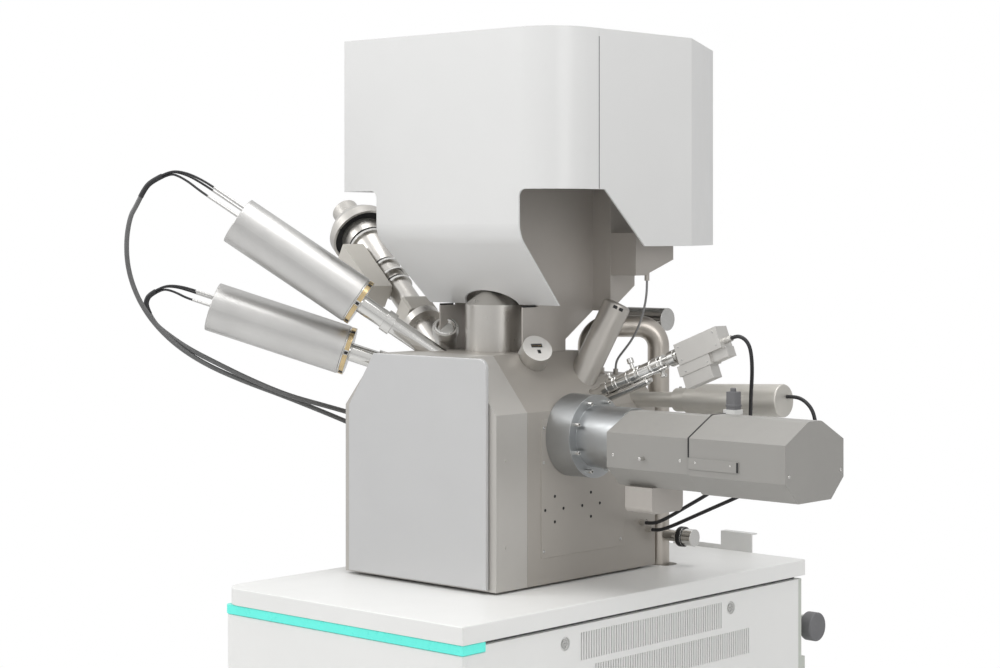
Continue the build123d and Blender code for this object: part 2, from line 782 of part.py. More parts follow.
def shroud_plan(inset, rear_half):
    """Right half of the shroud's plan behind the seam, as points from the beam axis."""
    side = shroud_half_width - inset
    rear = shroud_rear_y - inset
    turn = shroud_side_rear - inset * 0.3
    return [(rear_half, shroud_seam_y), (side, shroud_seam_y), (side, turn),
            (shroud_rear_half_width - inset * 0.7, rear), (rear_half, rear)]


def shroud_half(sign):
    """One side cover: wall, half of the rear and half of the top."""
    for inset, low, high, mode in (
        (0.0, shroud_side_low, shroud_top, Mode.ADD),
        (shroud_wall, shroud_side_low, shroud_top - shroud_wall, Mode.SUBTRACT),
    ):
        seam = touch_gap if mode == Mode.ADD else 0.0
        with BuildSketch(upright(0, 0, low)) as plan:
            with BuildLine():
                Polyline(*[(sign * x, y) for x, y in shroud_plan(inset, seam)], close=True)
            make_face()
        extrude(plan.sketch, amount=high - low, mode=mode)
    side_profile(
        [
            (shroud_seam_y, shroud_side_low),
            (shroud_slope_rear, shroud_side_low),
            (shroud_slope_front, shroud_front_low),
            (shroud_seam_y, shroud_front_low),
        ],
        -shroud_half_width - 1, shroud_half_width + 1, Mode.SUBTRACT)


with BuildPart() as shroud_right:
    shroud_half(1)
save(shroud_right, "shroud_right")

with BuildPart() as shroud_left:
    shroud_half(-1)
save(shroud_left, "shroud_left")


def shroud_nose(inset, low, high, mode):
    """Front of the shroud's plan, with one large and one small corner."""
    side = shroud_half_width - inset
    front = shroud_front_y + inset
    back = shroud_seam_y - (touch_gap if inset == 0 else 0)
    with BuildSketch(upright(0, (front + back) / 2, low)) as plan:
        Rectangle(side * 2, back - front)
        front_corners = plan.vertices().group_by(Axis.Y)[0].sort_by(Axis.X)
        fillet(front_corners[-1], shroud_right_radius - inset)
        fillet(front_corners[0], shroud_left_radius - inset)
    extrude(plan.sketch, amount=high - low, mode=mode)


# Skirt below the shroud's front, bent inward at 45 degrees with an arch over the column
skirt_rear = shroud_front_y + (skirt_top - skirt_bottom)
skirt_slope = shroud_wall * 2 ** 0.5
notch_corner = 16.0
bend_radius = 60.0
bend_y = shroud_front_y + bend_radius
bend_z = skirt_top + bend_radius * tan(radians(22.5))
bend_turns = (180, 202.5, 225)


def bend_points(radius):
    """Start, middle and end of an arc round the bend's centre, as Y and Z."""
    return [(bend_y + radius * cos(radians(turn)), bend_z + radius * sin(radians(turn))) for turn in bend_turns]


with BuildPart() as skirt:
    outer_bend = bend_points(bend_radius)
    inner_bend = bend_points(bend_radius - shroud_wall)
    with BuildSketch(Plane(origin=at(-skirt_top_half_width, 0, 0), x_dir=(0, 1, 0), z_dir=(1, 0, 0))) as bent:
        with BuildLine():
            ThreePointArc(*outer_bend)
            Polyline(outer_bend[-1], (skirt_rear, skirt_bottom), (skirt_rear + skirt_slope, skirt_bottom),
                     inner_bend[-1])
            ThreePointArc(*reversed(inner_bend))
            Line(inner_bend[0], outer_bend[0])
        make_face()
    extrude(bent.sketch, amount=2 * skirt_top_half_width)
    for side_sign in (-1, 1):
        front_profile(
            [
                (side_sign * skirt_top_half_width, skirt_top),
                (side_sign * (skirt_top_half_width + 1), skirt_bottom - 1),
                (side_sign * skirt_bottom_half_width, skirt_bottom - 1),
            ],
            shroud_front_y - 1, skirt_rear + skirt_slope + 1, Mode.SUBTRACT)
    with BuildSketch(along_y(0, shroud_front_y - 1, skirt_bottom)) as arch:
        Ellipse(skirt_arch_half_width, skirt_arch_height)
    extrude(arch.sketch, amount=skirt_rear - shroud_front_y + 20, mode=Mode.SUBTRACT)

with BuildPart() as shroud_front:
    shroud_nose(0.0, skirt_top, shroud_top, Mode.ADD)
    shroud_nose(shroud_wall, skirt_top, shroud_top - shroud_wall, Mode.SUBTRACT)
    notch_width = shroud_half_width - skirt_top_half_width + 40
    for side_sign in (-1, 1):
        notch_x = side_sign * (skirt_top_half_width + notch_width / 2)
        with BuildSketch(along_y(notch_x, shroud_front_y - 1, (skirt_top + shroud_front_low) / 2)) as notch:
            Rectangle(notch_width, shroud_front_low - skirt_top)
            fillet(notch.vertices().group_by(Axis.Y)[-1].sort_by(Axis.X)[-1 if side_sign > 0 else 0], notch_corner)
        extrude(notch.sketch, amount=shroud_seam_y - shroud_front_y + 2, mode=Mode.SUBTRACT)
    block(-skirt_top_half_width, skirt_top_half_width, shroud_front_y - 1, shroud_front_y + shroud_wall + 1,
          skirt_top - 1, bend_z, Mode.SUBTRACT)
    add(skirt.part)
save(shroud_front, "shroud_front")

# Inner cover round the column, open at the front
inner_floor = chamber_top + touch_gap
inner_low_front = -48.0
skirt_clearance = 4.0


def inner_plan(inset, front):
    """Stepped plan of the inner cover, closed across its open front."""
    near = inner_half_width - inset
    far = inner_rear_half_width - inset
    step = inner_step_y + inset
    rear = inner_rear - inset
    return [(-near, front), (near, front), (near, step), (far, step), (far, rear),
            (-far, rear), (-far, step), (-near, step)]


with BuildPart() as inner_cover:
    for inset, mode in ((0.0, Mode.ADD), (inner_wall, Mode.SUBTRACT)):
        with BuildSketch(upright(0, 0, inner_floor)) as plan:
            with BuildLine():
                Polyline(*inner_plan(inset, inner_front - inset), close=True)
            make_face()
        extrude(plan.sketch, amount=inner_top - inner_floor, mode=mode)
    side_profile(
        [
            (inner_slope_front, inner_floor - 1),
            (inner_slope_front, inner_slope_low),
            (inner_rear + 1, inner_slope_high),
            (inner_rear + 1, inner_floor - 1),
        ],
        -inner_rear_half_width, inner_rear_half_width, Mode.SUBTRACT)
    side_profile(
        [
            (inner_front - inner_wall - 1, inner_floor - 1),
            (inner_low_front, inner_floor - 1),
            (inner_low_front, skirt_bottom - skirt_clearance),
            (skirt_rear + skirt_slope + skirt_clearance, skirt_bottom - skirt_clearance),
            (skirt_rear + skirt_slope + skirt_clearance, skirt_bottom),
            *reversed(bend_points(bend_radius - shroud_wall - skirt_clearance)),
            (inner_front - inner_wall - 1, bend_z),
        ],
        -inner_rear_half_width, inner_rear_half_width, Mode.SUBTRACT)
    rod(camera_axis, camera_radius + port_gap, camera_start, camera_end, Mode.SUBTRACT)
save(inner_cover, "inner_cover")

# Valve box beside the inner cover, with the gland of the thin hose below it
valve_box_right = 247.0
valve_box_side = [(188.0, 652.0), (188.0, 746.0), (322.0, 716.0), (322.0, 686.0), (220.0, 652.0)]
valve_gland_x = 240.0
valve_gland_y = 236.0
valve_gland_low = 640.0
valve_gland_high = 662.0
with BuildPart() as valve_box:
    side_profile(valve_box_side, inner_rear_half_width + touch_gap, valve_box_right)
    rod(upright(valve_gland_x, valve_gland_y), hose_gland_radius, valve_gland_low, valve_gland_high)
save(valve_box, "valve_box")


def bar(plane, x0, x1, y0, y1, start, end, mode=Mode.ADD):
    """Square bar along the normal of a plane, between two corners of that plane."""
    with BuildSketch(plane.offset(start)) as section:
        with Locations(((x0 + x1) / 2, (y0 + y1) / 2)):
            Rectangle(x1 - x0, y1 - y0)
    extrude(section.sketch, amount=end - start, mode=mode)


# Ion column on the left, its head and its power box
ion_flange_start = 372.0
ion_flange_end = 392.0
ion_flange_radius = 46.0
ion_throat_end = 190.0
with BuildPart() as ion_column:
    cone(ion_axis, ion_nose_radius, ion_body_radius, ion_nose_start, ion_throat_end)
    rod(ion_axis, ion_body_radius, ion_throat_end, ion_cone_start)
    cone(ion_axis, ion_body_radius, ion_cone_radius, ion_cone_start, ion_cone_end)
    rod(ion_axis, ion_flange_radius, ion_flange_start, ion_flange_end)
save(ion_column, "ion_column")

ion_rim_end = ion_cone_end + ion_rim_length
ion_shoulder_end = ion_rim_end + ion_shoulder_length
ion_head_end = ion_cone_end + ion_head_length
with BuildPart() as ion_head:
    rod(ion_axis, ion_head_radius, ion_cone_end, ion_rim_end)
    cone(ion_axis, ion_head_radius, ion_shoulder_radius, ion_rim_end, ion_shoulder_end)
    cone(ion_axis, ion_shoulder_radius, ion_neck_radius, ion_shoulder_end, ion_head_end)
    rod(ion_axis, ion_cap_radius, ion_head_end, ion_head_end + ion_cap_length)
    rod(ion_axis, ion_head_radius - 6, ion_cone_end, ion_cone_end + 12, Mode.SUBTRACT)
    rod(ion_axis, ion_cone_radius, ion_cone_end, ion_cone_end + 12)
save(ion_head, "ion_head")

ion_box_near = 42.0
with BuildPart() as ion_box:
    bar(ion_axis, ion_box_near, ion_box_near + ion_box_depth, -ion_box_width / 2, ion_box_width / 2,
        ion_box_start - 55, ion_box_start - 55 + ion_box_length)
    bar(ion_axis, ion_body_radius + touch_gap, ion_box_near, -12, 12, ion_box_start - 45, ion_box_start - 15)
save(ion_box, "ion_box")

# Gas injectors: necks through the chamber wall, brass rings, housings with three rods
neck_step = 62.0
ring_step = 1.0
injector_edge_radius = 2.0
for injector_name, injector in injectors.items():
    axis = injector["axis"]
    ring_start = injector["start"]
    body_start = ring_start + injector_ring_length
    with BuildPart() as injector_neck:
        rod(axis, injector_nozzle_radius, injector["nozzle"], injector["inside"])
        rod(axis, injector_neck_radius, injector["inside"], ring_start)
        rod(axis, injector_collar_radius, ring_start - neck_step - injector_collar_length, ring_start - neck_step)
    save(injector_neck, f"injector_neck_{injector_name}")
    with BuildPart() as injector_housing:
        rod(axis, injector_radius, body_start, injector["end"])
        fillet(injector_housing.edges().filter_by(GeomType.CIRCLE), injector_edge_radius)
        with BuildSketch(axis.offset(injector["end"])):
            with Locations(*injector["rods"]):
                Circle(rod_radius)
        extrude(amount=injector["rod_length"])
    save(injector_housing, f"injector_housing_{injector_name}")

with BuildPart() as injector_rings:
    for injector in injectors.values():
        rod(injector["axis"], injector_radius - ring_step, injector["start"], injector["start"] + injector_ring_length)
save(injector_rings, "injector_rings")

# Port camera and oblique port
slot_depth = 5.0
with BuildPart() as port_camera:
    rod(camera_axis, camera_radius, camera_start + 8, camera_end)
    bar(camera_axis, -13, 13, 2, 12, camera_end - slot_depth, camera_end, Mode.SUBTRACT)
    bar(camera_axis, -2, 6, -14, -4, camera_end - slot_depth, camera_end, Mode.SUBTRACT)
save(port_camera, "port_camera")

with BuildPart() as oblique_port:
    rod(oblique_axis, oblique_radius, oblique_start, oblique_end)
    fillet(oblique_port.edges().filter_by(GeomType.CIRCLE).sort_by(Axis.Z)[-1], 8)
save(oblique_port, "oblique_port")

# Retractable detector: guide tube with clamps, and the head that slides in it
guide_tube_start = -30.0
guide_tube_end = 241.0
guide_tube_radius = 10.8
guide_bore = 7.8
arm_start = -100.0
arm_radius = 7.3
clamp_radius = 17.0
clamp_starts = (46.0, 112.0, 176.0, 222.0)
clamp_length = 16.0
head_start = 252.0
head_end = 368.0
detector_plug_length = 18.0
detector_plug_radius = 6.5
detector_plug_offset = -11.0
with BuildPart() as detector_guide:
    rod(detector_axis, guide_tube_radius, guide_tube_start, guide_tube_end)
    for clamp_start in clamp_starts:
        rod(detector_axis, clamp_radius, clamp_start, clamp_start + clamp_length)
    rod(detector_axis, guide_bore, guide_tube_start, guide_tube_end, Mode.SUBTRACT)
save(detector_guide, "detector_guide")

with BuildPart() as detector_head:
    rod(detector_axis, arm_radius, arm_start, head_start)
    bar(detector_axis, -20, 20, -24, 22, head_start, head_end)
    bar(detector_axis, -18, 18, -47, -24, head_start - 9, head_start + 78)
    bar(detector_axis, -10, 18, -45, -24, head_start + 78, head_end + 4)
    bar(detector_axis, -16, 14, -75, -47, head_start - 4, head_start + 72)
    with BuildSketch(detector_axis.offset(head_end)):
        with Locations((0, detector_plug_offset)):
            Circle(detector_plug_radius)
    extrude(amount=detector_plug_length)
save(detector_head, "detector_head")

# Rear port detector with its clip
rear_body_start = 180.0
rear_body_end = 423.0
clip_length = 38.0
clip_wall = 9.0
with BuildPart() as rear_detector:
    rod(rear_port_axis, rear_neck_radius, -50, rear_body_start)
    rod(rear_port_axis, rear_neck_radius + clip_wall, rear_body_start - clip_length, rear_body_start)
    rod(rear_port_axis, rear_body_radius, rear_body_start, rear_body_end)
    fillet(rear_detector.edges().filter_by(GeomType.CIRCLE).sort_by(Axis.X)[-1], 3)
save(rear_detector, "rear_detector")

# Vacuum pipe from the table slot over to the chamber, its branch and its gauge
pipe_low = -110.0
with BuildPart() as vacuum_pipe:
    with BuildLine() as pipe_line:
        FilletPolyline(
            at(pipe_x, pipe_y, pipe_low),
            at(pipe_x, pipe_y, pipe_height),
            at(pipe_far_x, pipe_far_y, pipe_height),
            at(pipe_far_x, pipe_far_y, chamber_step),
            radius=pipe_bend)
    with BuildSketch(upright(pipe_x, pipe_y, pipe_low)):
        Circle(pipe_radius)
        Circle(pipe_radius - pipe_wall, mode=Mode.SUBTRACT)
    sweep()
    rod(upright(pipe_far_x, pipe_far_y), pipe_flange_radius, chamber_step, chamber_step + pipe_flange_height)
    rod(upright(pipe_far_x, pipe_far_y), pipe_radius - pipe_wall, chamber_step, chamber_step + pipe_flange_height,
        Mode.SUBTRACT)
save(vacuum_pipe, "vacuum_pipe")

branch_z = 66.0
branch_radius = 13.0
branch_end = 262.0
branch_cap_end = 302.0
branch_clamp_length = 14.0
with BuildPart() as branch_pipe:
    rod(along_x(0, pipe_y, branch_z), branch_radius, pipe_x, branch_end)
    rod(along_x(0, pipe_y, branch_z), branch_radius + 9, branch_end, branch_end + branch_clamp_length)
    rod(along_x(0, pipe_y, branch_z), branch_radius + 6, branch_end + branch_clamp_length, branch_cap_end)
    rod(upright(pipe_x, pipe_y), pipe_radius + touch_gap, 0, branch_z * 2, Mode.SUBTRACT)
save(branch_pipe, "branch_pipe")

gauge_y = 385.0
gauge_z = 548.0
gauge_radius = 26.0
gauge_left = 70.0
gauge_right = 182.0
gauge_stub_x = 160.0
gauge_stub_radius = 9.0
run_bearing = 225.0
with BuildPart() as vacuum_gauge:
    rod(along_x(0, gauge_y, gauge_z), gauge_radius, gauge_left, gauge_right)
    rod(along_y(gauge_stub_x, 0, pipe_height), gauge_stub_radius, pipe_y - 40, gauge_y)
    rod(aimed(pipe_x, pipe_y, pipe_height, run_bearing, 0), pipe_radius + touch_gap, 0, 160, Mode.SUBTRACT)
    add(vacuum_pipe.part, mode=Mode.SUBTRACT)
save(vacuum_gauge, "vacuum_gauge")

# Free cables. Every route is a hand-chosen list of points from the beam axis and the table top.
lead_radius = 2.6
sleeve_radius = 6.0
injector_cable_radius = 5.4
detector_cable_radius = 4.0
hose_radius = 2.6
arc_share = 0.45

lead_routes = [
    [
        (-455.3, -422.4, 846.3), (-467.6, -433.6, 857.5), (-493.6, -453.6, 874.2),
        (-516.2, -470.7, 882.0), (-533.9, -483.8, 880.9), (-545.8, -494.7, 873.1),
    ],
    [
        (-472.1, -410.6, 839.6), (-484.3, -421.8, 850.8), (-505.6, -444.4, 869.6),
        (-523.9, -464.4, 879.7), (-537.6, -479.7, 880.9), (-549.6, -490.6, 873.1),
    ],
    [
        (-460.8, -435.5, 827.2), (-473.0, -446.6, 838.4), (-496.7, -460.5, 859.1),
        (-518.3, -472.3, 872.3), (-534.2, -480.3, 876.6), (-546.2, -491.2, 868.8),
    ],
    [
        (-523.7, -416.7, 616.7), (-535.0, -427.0, 621.7), (-556.2, -440.5, 627.2),
        (-575.8, -452.5, 628.1), (-591.2, -461.6, 623.0), (-600.3, -469.9, 616.3),
    ],
    [
        (-538.6, -403.2, 611.0), (-549.8, -413.4, 616.0), (-567.0, -430.1, 623.2),
        (-582.9, -445.6, 626.2), (-594.9, -457.5, 623.0), (-604.0, -465.8, 616.3),
    ],
    [
        (-524.6, -425.6, 596.7), (-535.8, -435.8, 601.7), (-556.5, -444.6, 612.2),
        (-576.3, -452.7, 618.7), (-591.4, -458.0, 618.8), (-600.4, -466.3, 612.0),
    ],
]
sleeve_routes = [
    [
        (-547.2, -492.2, 871.7), (-564.2, -507.7, 860.6), (-576.0, -518.4, 844.2),
        (-582.9, -524.6, 825.2),
    ],
    [
        (-601.6, -467.3, 614.8), (-611.8, -476.6, 607.2), (-617.3, -481.6, 594.3),
        (-617.3, -481.6, 579.0), (-611.8, -476.6, 564.3),
    ],
]
injector_cable_routes = [
    [
        (-582.9, -524.6, 825.2), (-590.6, -531.7, 803.6), (-600.0, -540.0, 783.0),
        (-607.0, -546.0, 730.0), (-612.0, -538.0, 668.0), (-606.0, -518.0, 606.0),
        (-592.0, -486.0, 549.0), (-568.0, -440.0, 496.0), (-534.0, -382.0, 451.0),
        (-493.0, -308.0, 412.0), (-446.0, -224.0, 375.0), (-402.0, -144.0, 337.0),
        (-358.0, -72.0, 300.0), (-332.0, -8.0, 268.0), (-306.0, 44.0, 243.0),
        (-280.0, 72.0, 232.0), (-256.0, 84.0, 227.6), (-238.0, 84.0, 227.6),
    ],
    [
        (-611.8, -476.6, 564.3), (-604.6, -470.0, 544.6), (-588.0, -452.0, 523.0),
        (-556.0, -415.0, 488.0), (-516.0, -365.0, 454.0), (-475.0, -300.0, 415.0),
        (-429.0, -226.0, 377.0), (-385.0, -152.0, 352.0), (-356.0, -78.0, 328.0),
        (-330.0, -2.0, 302.0), (-303.0, 58.0, 278.0), (-279.0, 92.0, 262.0),
        (-256.0, 104.0, 256.0), (-238.0, 104.0, 256.0),
    ],
]
detector_cable_route = [
    (573.4, 96.0, 529.1), (584.4, 96.0, 533.4), (596.2, 96.5, 532.6),
    (606.5, 98.0, 526.9), (613.4, 100.0, 517.4), (616.5, 103.0, 503.8),
    (615.7, 108.5, 480.0), (609.0, 118.0, 449.0), (597.0, 131.0, 415.0),
    (584.0, 148.0, 380.0),
    (570.0, 166.0, 345.0), (552.0, 183.0, 310.0), (528.0, 198.0, 275.0),
    (498.0, 209.0, 240.0), (460.0, 215.0, 207.0), (414.0, 217.0, 179.0),
    (362.0, 218.0, 151.0), (316.0, 222.0, 126.0), (278.0, 229.0, 109.0),
    (252.0, 234.5, 103.6), (238.3, 234.5, 103.6),
]
rear_cable_route = [
    (612.2, 238.0, 402.2), (628.2, 238.0, 402.9), (646.0, 238.0, 400.8),
    (663.0, 238.0, 391.8), (677.0, 238.0, 376.6), (684.0, 238.0, 354.0),
    (682.0, 238.0, 330.0), (669.0, 239.0, 304.0), (646.0, 240.0, 278.0),
    (614.0, 241.0, 253.0), (575.0, 242.0, 229.0), (531.0, 243.0, 205.0),
    (484.0, 243.0, 181.0), (434.0, 243.0, 159.0), (384.0, 244.0, 137.0),
    (338.0, 247.0, 117.0), (300.0, 251.0, 101.0), (270.0, 255.0, 90.0),
    (250.0, 257.8, 86.0), (238.0, 257.8, 86.0),
]
hose_route = [
    (240.0, 236.0, 640.0), (240.0, 236.0, 620.0), (237.0, 235.0, 594.0),
    (230.0, 233.0, 563.0), (218.0, 231.0, 533.0), (202.0, 229.0, 507.0),
    (184.0, 227.0, 486.0), (168.0, 226.0, 469.0), (159.6, 225.0, 455.0),
    (159.6, 225.0, 442.0),
]


def corner_radii(route):
    """Radius of each corner's arc, as large as its two runs allow."""
    points = [Vector(*point) for point in route]
    radii = []
    for before, corner_point, after in zip(points, points[1:], points[2:]):
        arriving = corner_point - before
        leaving = after - corner_point
        turn = radians(arriving.get_angle(leaving))
        radii.append(arc_share * min(arriving.length, leaving.length) / tan(turn / 2))
    return radii


def cord(route, radius):
    """Tube of straight runs and tangent arcs along a route."""
    radii = corner_radii(route)
    with BuildLine() as path:
        FilletPolyline(*[at(*point) for point in route], radius=radii)
    spine = path.wire()
    with BuildSketch(Plane(origin=spine @ 0, z_dir=spine % 0)) as section:
        Circle(radius)
    sweep(section.sketch, path=spine)
    print("cord of radius", radius, "length", round(spine.length), "corner radii", [round(r) for r in radii])


with BuildPart() as injector_leads:
    for route in lead_routes:
        cord(route, lead_radius)
save(injector_leads, "injector_leads")

with BuildPart() as cable_sleeves:
    for route in sleeve_routes:
        cord(route, sleeve_radius)
save(cable_sleeves, "cable_sleeves")

with BuildPart() as injector_cables:
    for route in injector_cable_routes:
        cord(route, injector_cable_radius)
save(injector_cables, "injector_cables")

with BuildPart() as detector_cable:
    cord(detector_cable_route, detector_cable_radius)
save(detector_cable, "detector_cable")

with BuildPart() as rear_cable:
    cord(rear_cable_route, detector_cable_radius)
save(rear_cable, "rear_cable")

with BuildPart() as thin_hose:
    cord(hose_route, hose_radius)
save(thin_hose, "thin_hose")
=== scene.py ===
from math import cos, pi, radians, sin

import bmesh
import bpy
from mathutils import Matrix, Vector


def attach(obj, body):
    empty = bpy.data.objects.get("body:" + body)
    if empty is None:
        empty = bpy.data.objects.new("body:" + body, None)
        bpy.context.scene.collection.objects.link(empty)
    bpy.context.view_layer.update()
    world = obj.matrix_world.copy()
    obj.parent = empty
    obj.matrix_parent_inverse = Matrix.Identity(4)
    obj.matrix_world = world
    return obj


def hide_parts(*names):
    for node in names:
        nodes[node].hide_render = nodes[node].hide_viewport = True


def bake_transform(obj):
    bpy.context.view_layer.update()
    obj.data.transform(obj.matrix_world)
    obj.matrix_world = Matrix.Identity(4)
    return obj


# Looks of the scanning electron microscope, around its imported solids.
# Metres. Places are given in millimetres from the beam axis and the table top, as in the part's source.

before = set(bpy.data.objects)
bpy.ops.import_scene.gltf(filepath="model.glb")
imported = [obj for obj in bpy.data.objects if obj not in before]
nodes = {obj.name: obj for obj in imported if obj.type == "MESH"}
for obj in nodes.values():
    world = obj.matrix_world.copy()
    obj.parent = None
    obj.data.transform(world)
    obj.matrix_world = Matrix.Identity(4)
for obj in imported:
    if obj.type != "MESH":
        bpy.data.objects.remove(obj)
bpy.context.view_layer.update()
scene = bpy.context.scene

BEAM = Vector((-0.0753, -0.0695, 0.760))
MM = 0.001
TILT_Z = 315.0
WALL_FACE = 224.0
PLATE_FACE = 225.5
FLANGE_END = 290.0
FLANGE_BOLT_CIRCLE = 77.0
DRIVE_SIDE = -100.0
DRIVE_INNER_SIDE = -96.0
DRIVE_END = 843.0
DRIVE_SEAM = 612.0
PANEL_FACE = 407.0
LEFT_PANEL_FACE = -281.0
SHROUD_HALF_WIDTH = 315.0
SHROUD_SEAM_Y = -20.0
CAMERA_END = 300.0
OBLIQUE_RADIUS = 31.0
ION_CAP_END = 845.0
ION_SHOULDER_END = 801.0
SHARP_ANGLE = 38.0
SCREW_CHAMFER = 0.16
SCREW_SOCKET = 0.55
INNER_WIDTH = 125.0


def at(x, y, z):
    """Place in the frame, from millimetres off the beam axis and the table top."""
    return BEAM + Vector((x, y, z)) * MM


def placed(origin, bearing=0.0, elevation=90.0):
    """Frame whose Z leaves a point at a bearing and an elevation, with its X level."""
    flat = cos(radians(elevation))
    out = Vector((flat * cos(radians(bearing)), flat * sin(radians(bearing)), sin(radians(elevation))))
    level = Vector((-sin(radians(bearing)), cos(radians(bearing)), 0))
    up = out.cross(level)
    turn = Matrix((level, up, out)).transposed().to_4x4()
    return Matrix.Translation(at(*origin)) @ turn


UPRIGHT = placed((0, 0, 0))
TILT_AXIS = placed((0, 0, TILT_Z), 0, 0)
ION_AXIS = placed((0, 0, TILT_Z), 165, 35)
UPPER_AXIS = placed((0, 0, 390), 222.3, 34)
LOWER_AXIS = placed((-34, 37, 374), 222.3, 18.2)
CAMERA_AXIS = placed((-46.3, 52.5, 311.2), -25, 38.8)
OBLIQUE_AXIS = placed((165, 112, 440), 49.4, 64.1)
DETECTOR_AXIS = placed((210, 96, 398.5), 0, 21.4)
REAR_AXIS = placed((190, 228, 375), 0, 2.6)
BRANCH_AXIS = placed((0, 328, 66), 0, 0)
GAUGE_AXIS = placed((0, 385, 548), 0, 0)
PORT_AXIS = placed((-150, 0, 486), -48, 45)


# Materials

def srgb(red, green, blue):
    """Linear colour of one that is given from 0 to 255 as a screen shows it."""
    def linear(value):
        share = value / 255
        return share / 12.92 if share <= 0.04045 else ((share + 0.055) / 1.055) ** 2.4
    return (linear(red), linear(green), linear(blue), 1.0)


def scaled(colour, share):
    return tuple(min(1.0, value * share) for value in colour[:3]) + (1.0,)


def node_of(tree, kind, **values):
    """New shader node with its inputs set by name."""
    made = tree.nodes.new(kind)
    for name, value in values.items():
        made.inputs[name.replace("_", " ")].default_value = value
    return made


def ramp(tree, source, low, high, to_low, to_high):
    """Value from one range carried over to another."""
    made = node_of(tree, "ShaderNodeMapRange", From_Min=low, From_Max=high, To_Min=to_low, To_Max=to_high)
    tree.links.new(source, made.inputs["Value"])
    return made.outputs["Result"]


def blended(tree, share, first, second):
    """Colour between two, by a share that is a socket."""
    made = tree.nodes.new("ShaderNodeMix")
    made.data_type = "RGBA"
    tree.links.new(share, made.inputs["Factor"])
    for slot_name, value in (("A", first), ("B", second)):
        entry = next(i for i in made.inputs if i.name == slot_name and i.type == "RGBA")
        if isinstance(value, bpy.types.NodeSocket):
            tree.links.new(value, entry)
        else:
            entry.default_value = value
    return next(o for o in made.outputs if o.type == "RGBA")


def surface(name, colour, rough, metallic=0.0, grain=(900, 0.00001), stretch=(1, 1, 1), place=None,
            cloud=(9, 0.05), edge=1.1, edge_width=0.0012, coat=0.0, smudge=0.06):
    """Finish with cloudy colour, grain or brushing, smudges in its gloss and a painted highlight that lightens
    the colour on its edges.
    """
    material = bpy.data.materials.new(name)
    material.use_nodes = True
    tree = material.node_tree
    shader = tree.nodes["Principled BSDF"]
    shader.inputs["Metallic"].default_value = metallic
    shader.inputs["Coat Weight"].default_value = coat
    shader.inputs["Coat Roughness"].default_value = 0.25
    spot = tree.nodes.new("ShaderNodeTexCoord").outputs["Object"]

    lay = tree.nodes.new("ShaderNodeMapping")
    lay.vector_type = "TEXTURE"
    if place is not None:
        lay.inputs["Location"].default_value = place.to_translation()
        lay.inputs["Rotation"].default_value = place.to_euler()
    lay.inputs["Scale"].default_value = stretch
    tree.links.new(spot, lay.inputs["Vector"])

    cloudy = node_of(tree, "ShaderNodeTexNoise", Scale=cloud[0], Detail=5.0, Roughness=0.6)
    tree.links.new(spot, cloudy.inputs["Vector"])
    smear = node_of(tree, "ShaderNodeTexNoise", Scale=cloud[0] * 4.3, Detail=6.0, Roughness=0.7)
    tree.links.new(spot, smear.inputs["Vector"])
    fine = node_of(tree, "ShaderNodeTexNoise", Scale=float(grain[0]), Detail=4.0, Roughness=0.65)
    tree.links.new(lay.outputs["Vector"], fine.inputs["Vector"])

    round_edge = tree.nodes.new("ShaderNodeBevel")
    round_edge.samples = 4
    round_edge.inputs["Radius"].default_value = edge_width
    true_normal = tree.nodes.new("ShaderNodeNewGeometry").outputs["True Normal"]
    agreement = tree.nodes.new("ShaderNodeVectorMath")
    agreement.operation = "DOT_PRODUCT"
    tree.links.new(round_edge.outputs["Normal"], agreement.inputs[0])
    tree.links.new(true_normal, agreement.inputs[1])
    # Painted highlight on edges: the share where the rounded normal leaves the true one, where the colour turns
    # lighter by the factor edge.
    edge_highlight_share = ramp(tree, agreement.outputs["Value"], 0.97, 0.8, 0.0, 1.0)

    body = blended(tree, ramp(tree, cloudy.outputs["Fac"], 0.3, 0.7, 0.0, 1.0),
                   scaled(colour, 1 - cloud[1]), scaled(colour, 1 + cloud[1]))
    toned = blended(tree, ramp(tree, fine.outputs["Fac"], 0.25, 0.75, 0.0, cloud[1] * 2), body,
                    scaled(colour, 0.8))
    tree.links.new(blended(tree, edge_highlight_share, toned, scaled(colour, edge)), shader.inputs["Base Color"])

    gloss = tree.nodes.new("ShaderNodeMath")
    gloss.operation = "ADD"
    tree.links.new(ramp(tree, smear.outputs["Fac"], 0.3, 0.7, rough - smudge, rough + smudge), gloss.inputs[0])
    tree.links.new(ramp(tree, fine.outputs["Fac"], 0.3, 0.7, -smudge / 2, smudge / 2), gloss.inputs[1])
    tree.links.new(gloss.outputs["Value"], shader.inputs["Roughness"])

    bump = node_of(tree, "ShaderNodeBump", Strength=1.0, Distance=float(grain[1]))
    tree.links.new(fine.outputs["Fac"], bump.inputs["Height"])
    tree.links.new(round_edge.outputs["Normal"], bump.inputs["Normal"])
    tree.links.new(bump.outputs["Normal"], shader.inputs["Normal"])
    return material


def glowing(material, colour, strength):
    """The same finish with a light of its own behind it."""
    shader = material.node_tree.nodes["Principled BSDF"]
    shader.inputs["Emission Color"].default_value = colour
    shader.inputs["Emission Strength"].default_value = strength
    return material


BRUSHED = (1, 1, 45)
TURNED = (28, 28, 1)
LINES = (1300, 0.000012)

WHITE = srgb(236, 236, 234)
SHROUD = srgb(222, 222, 221)
COVER_GREY = srgb(182, 177, 171)
CHAMBER = srgb(172, 167, 160)
DRIVE = srgb(152, 150, 146)
BRIGHT = srgb(214, 213, 210)
BLACK = srgb(38, 38, 40)
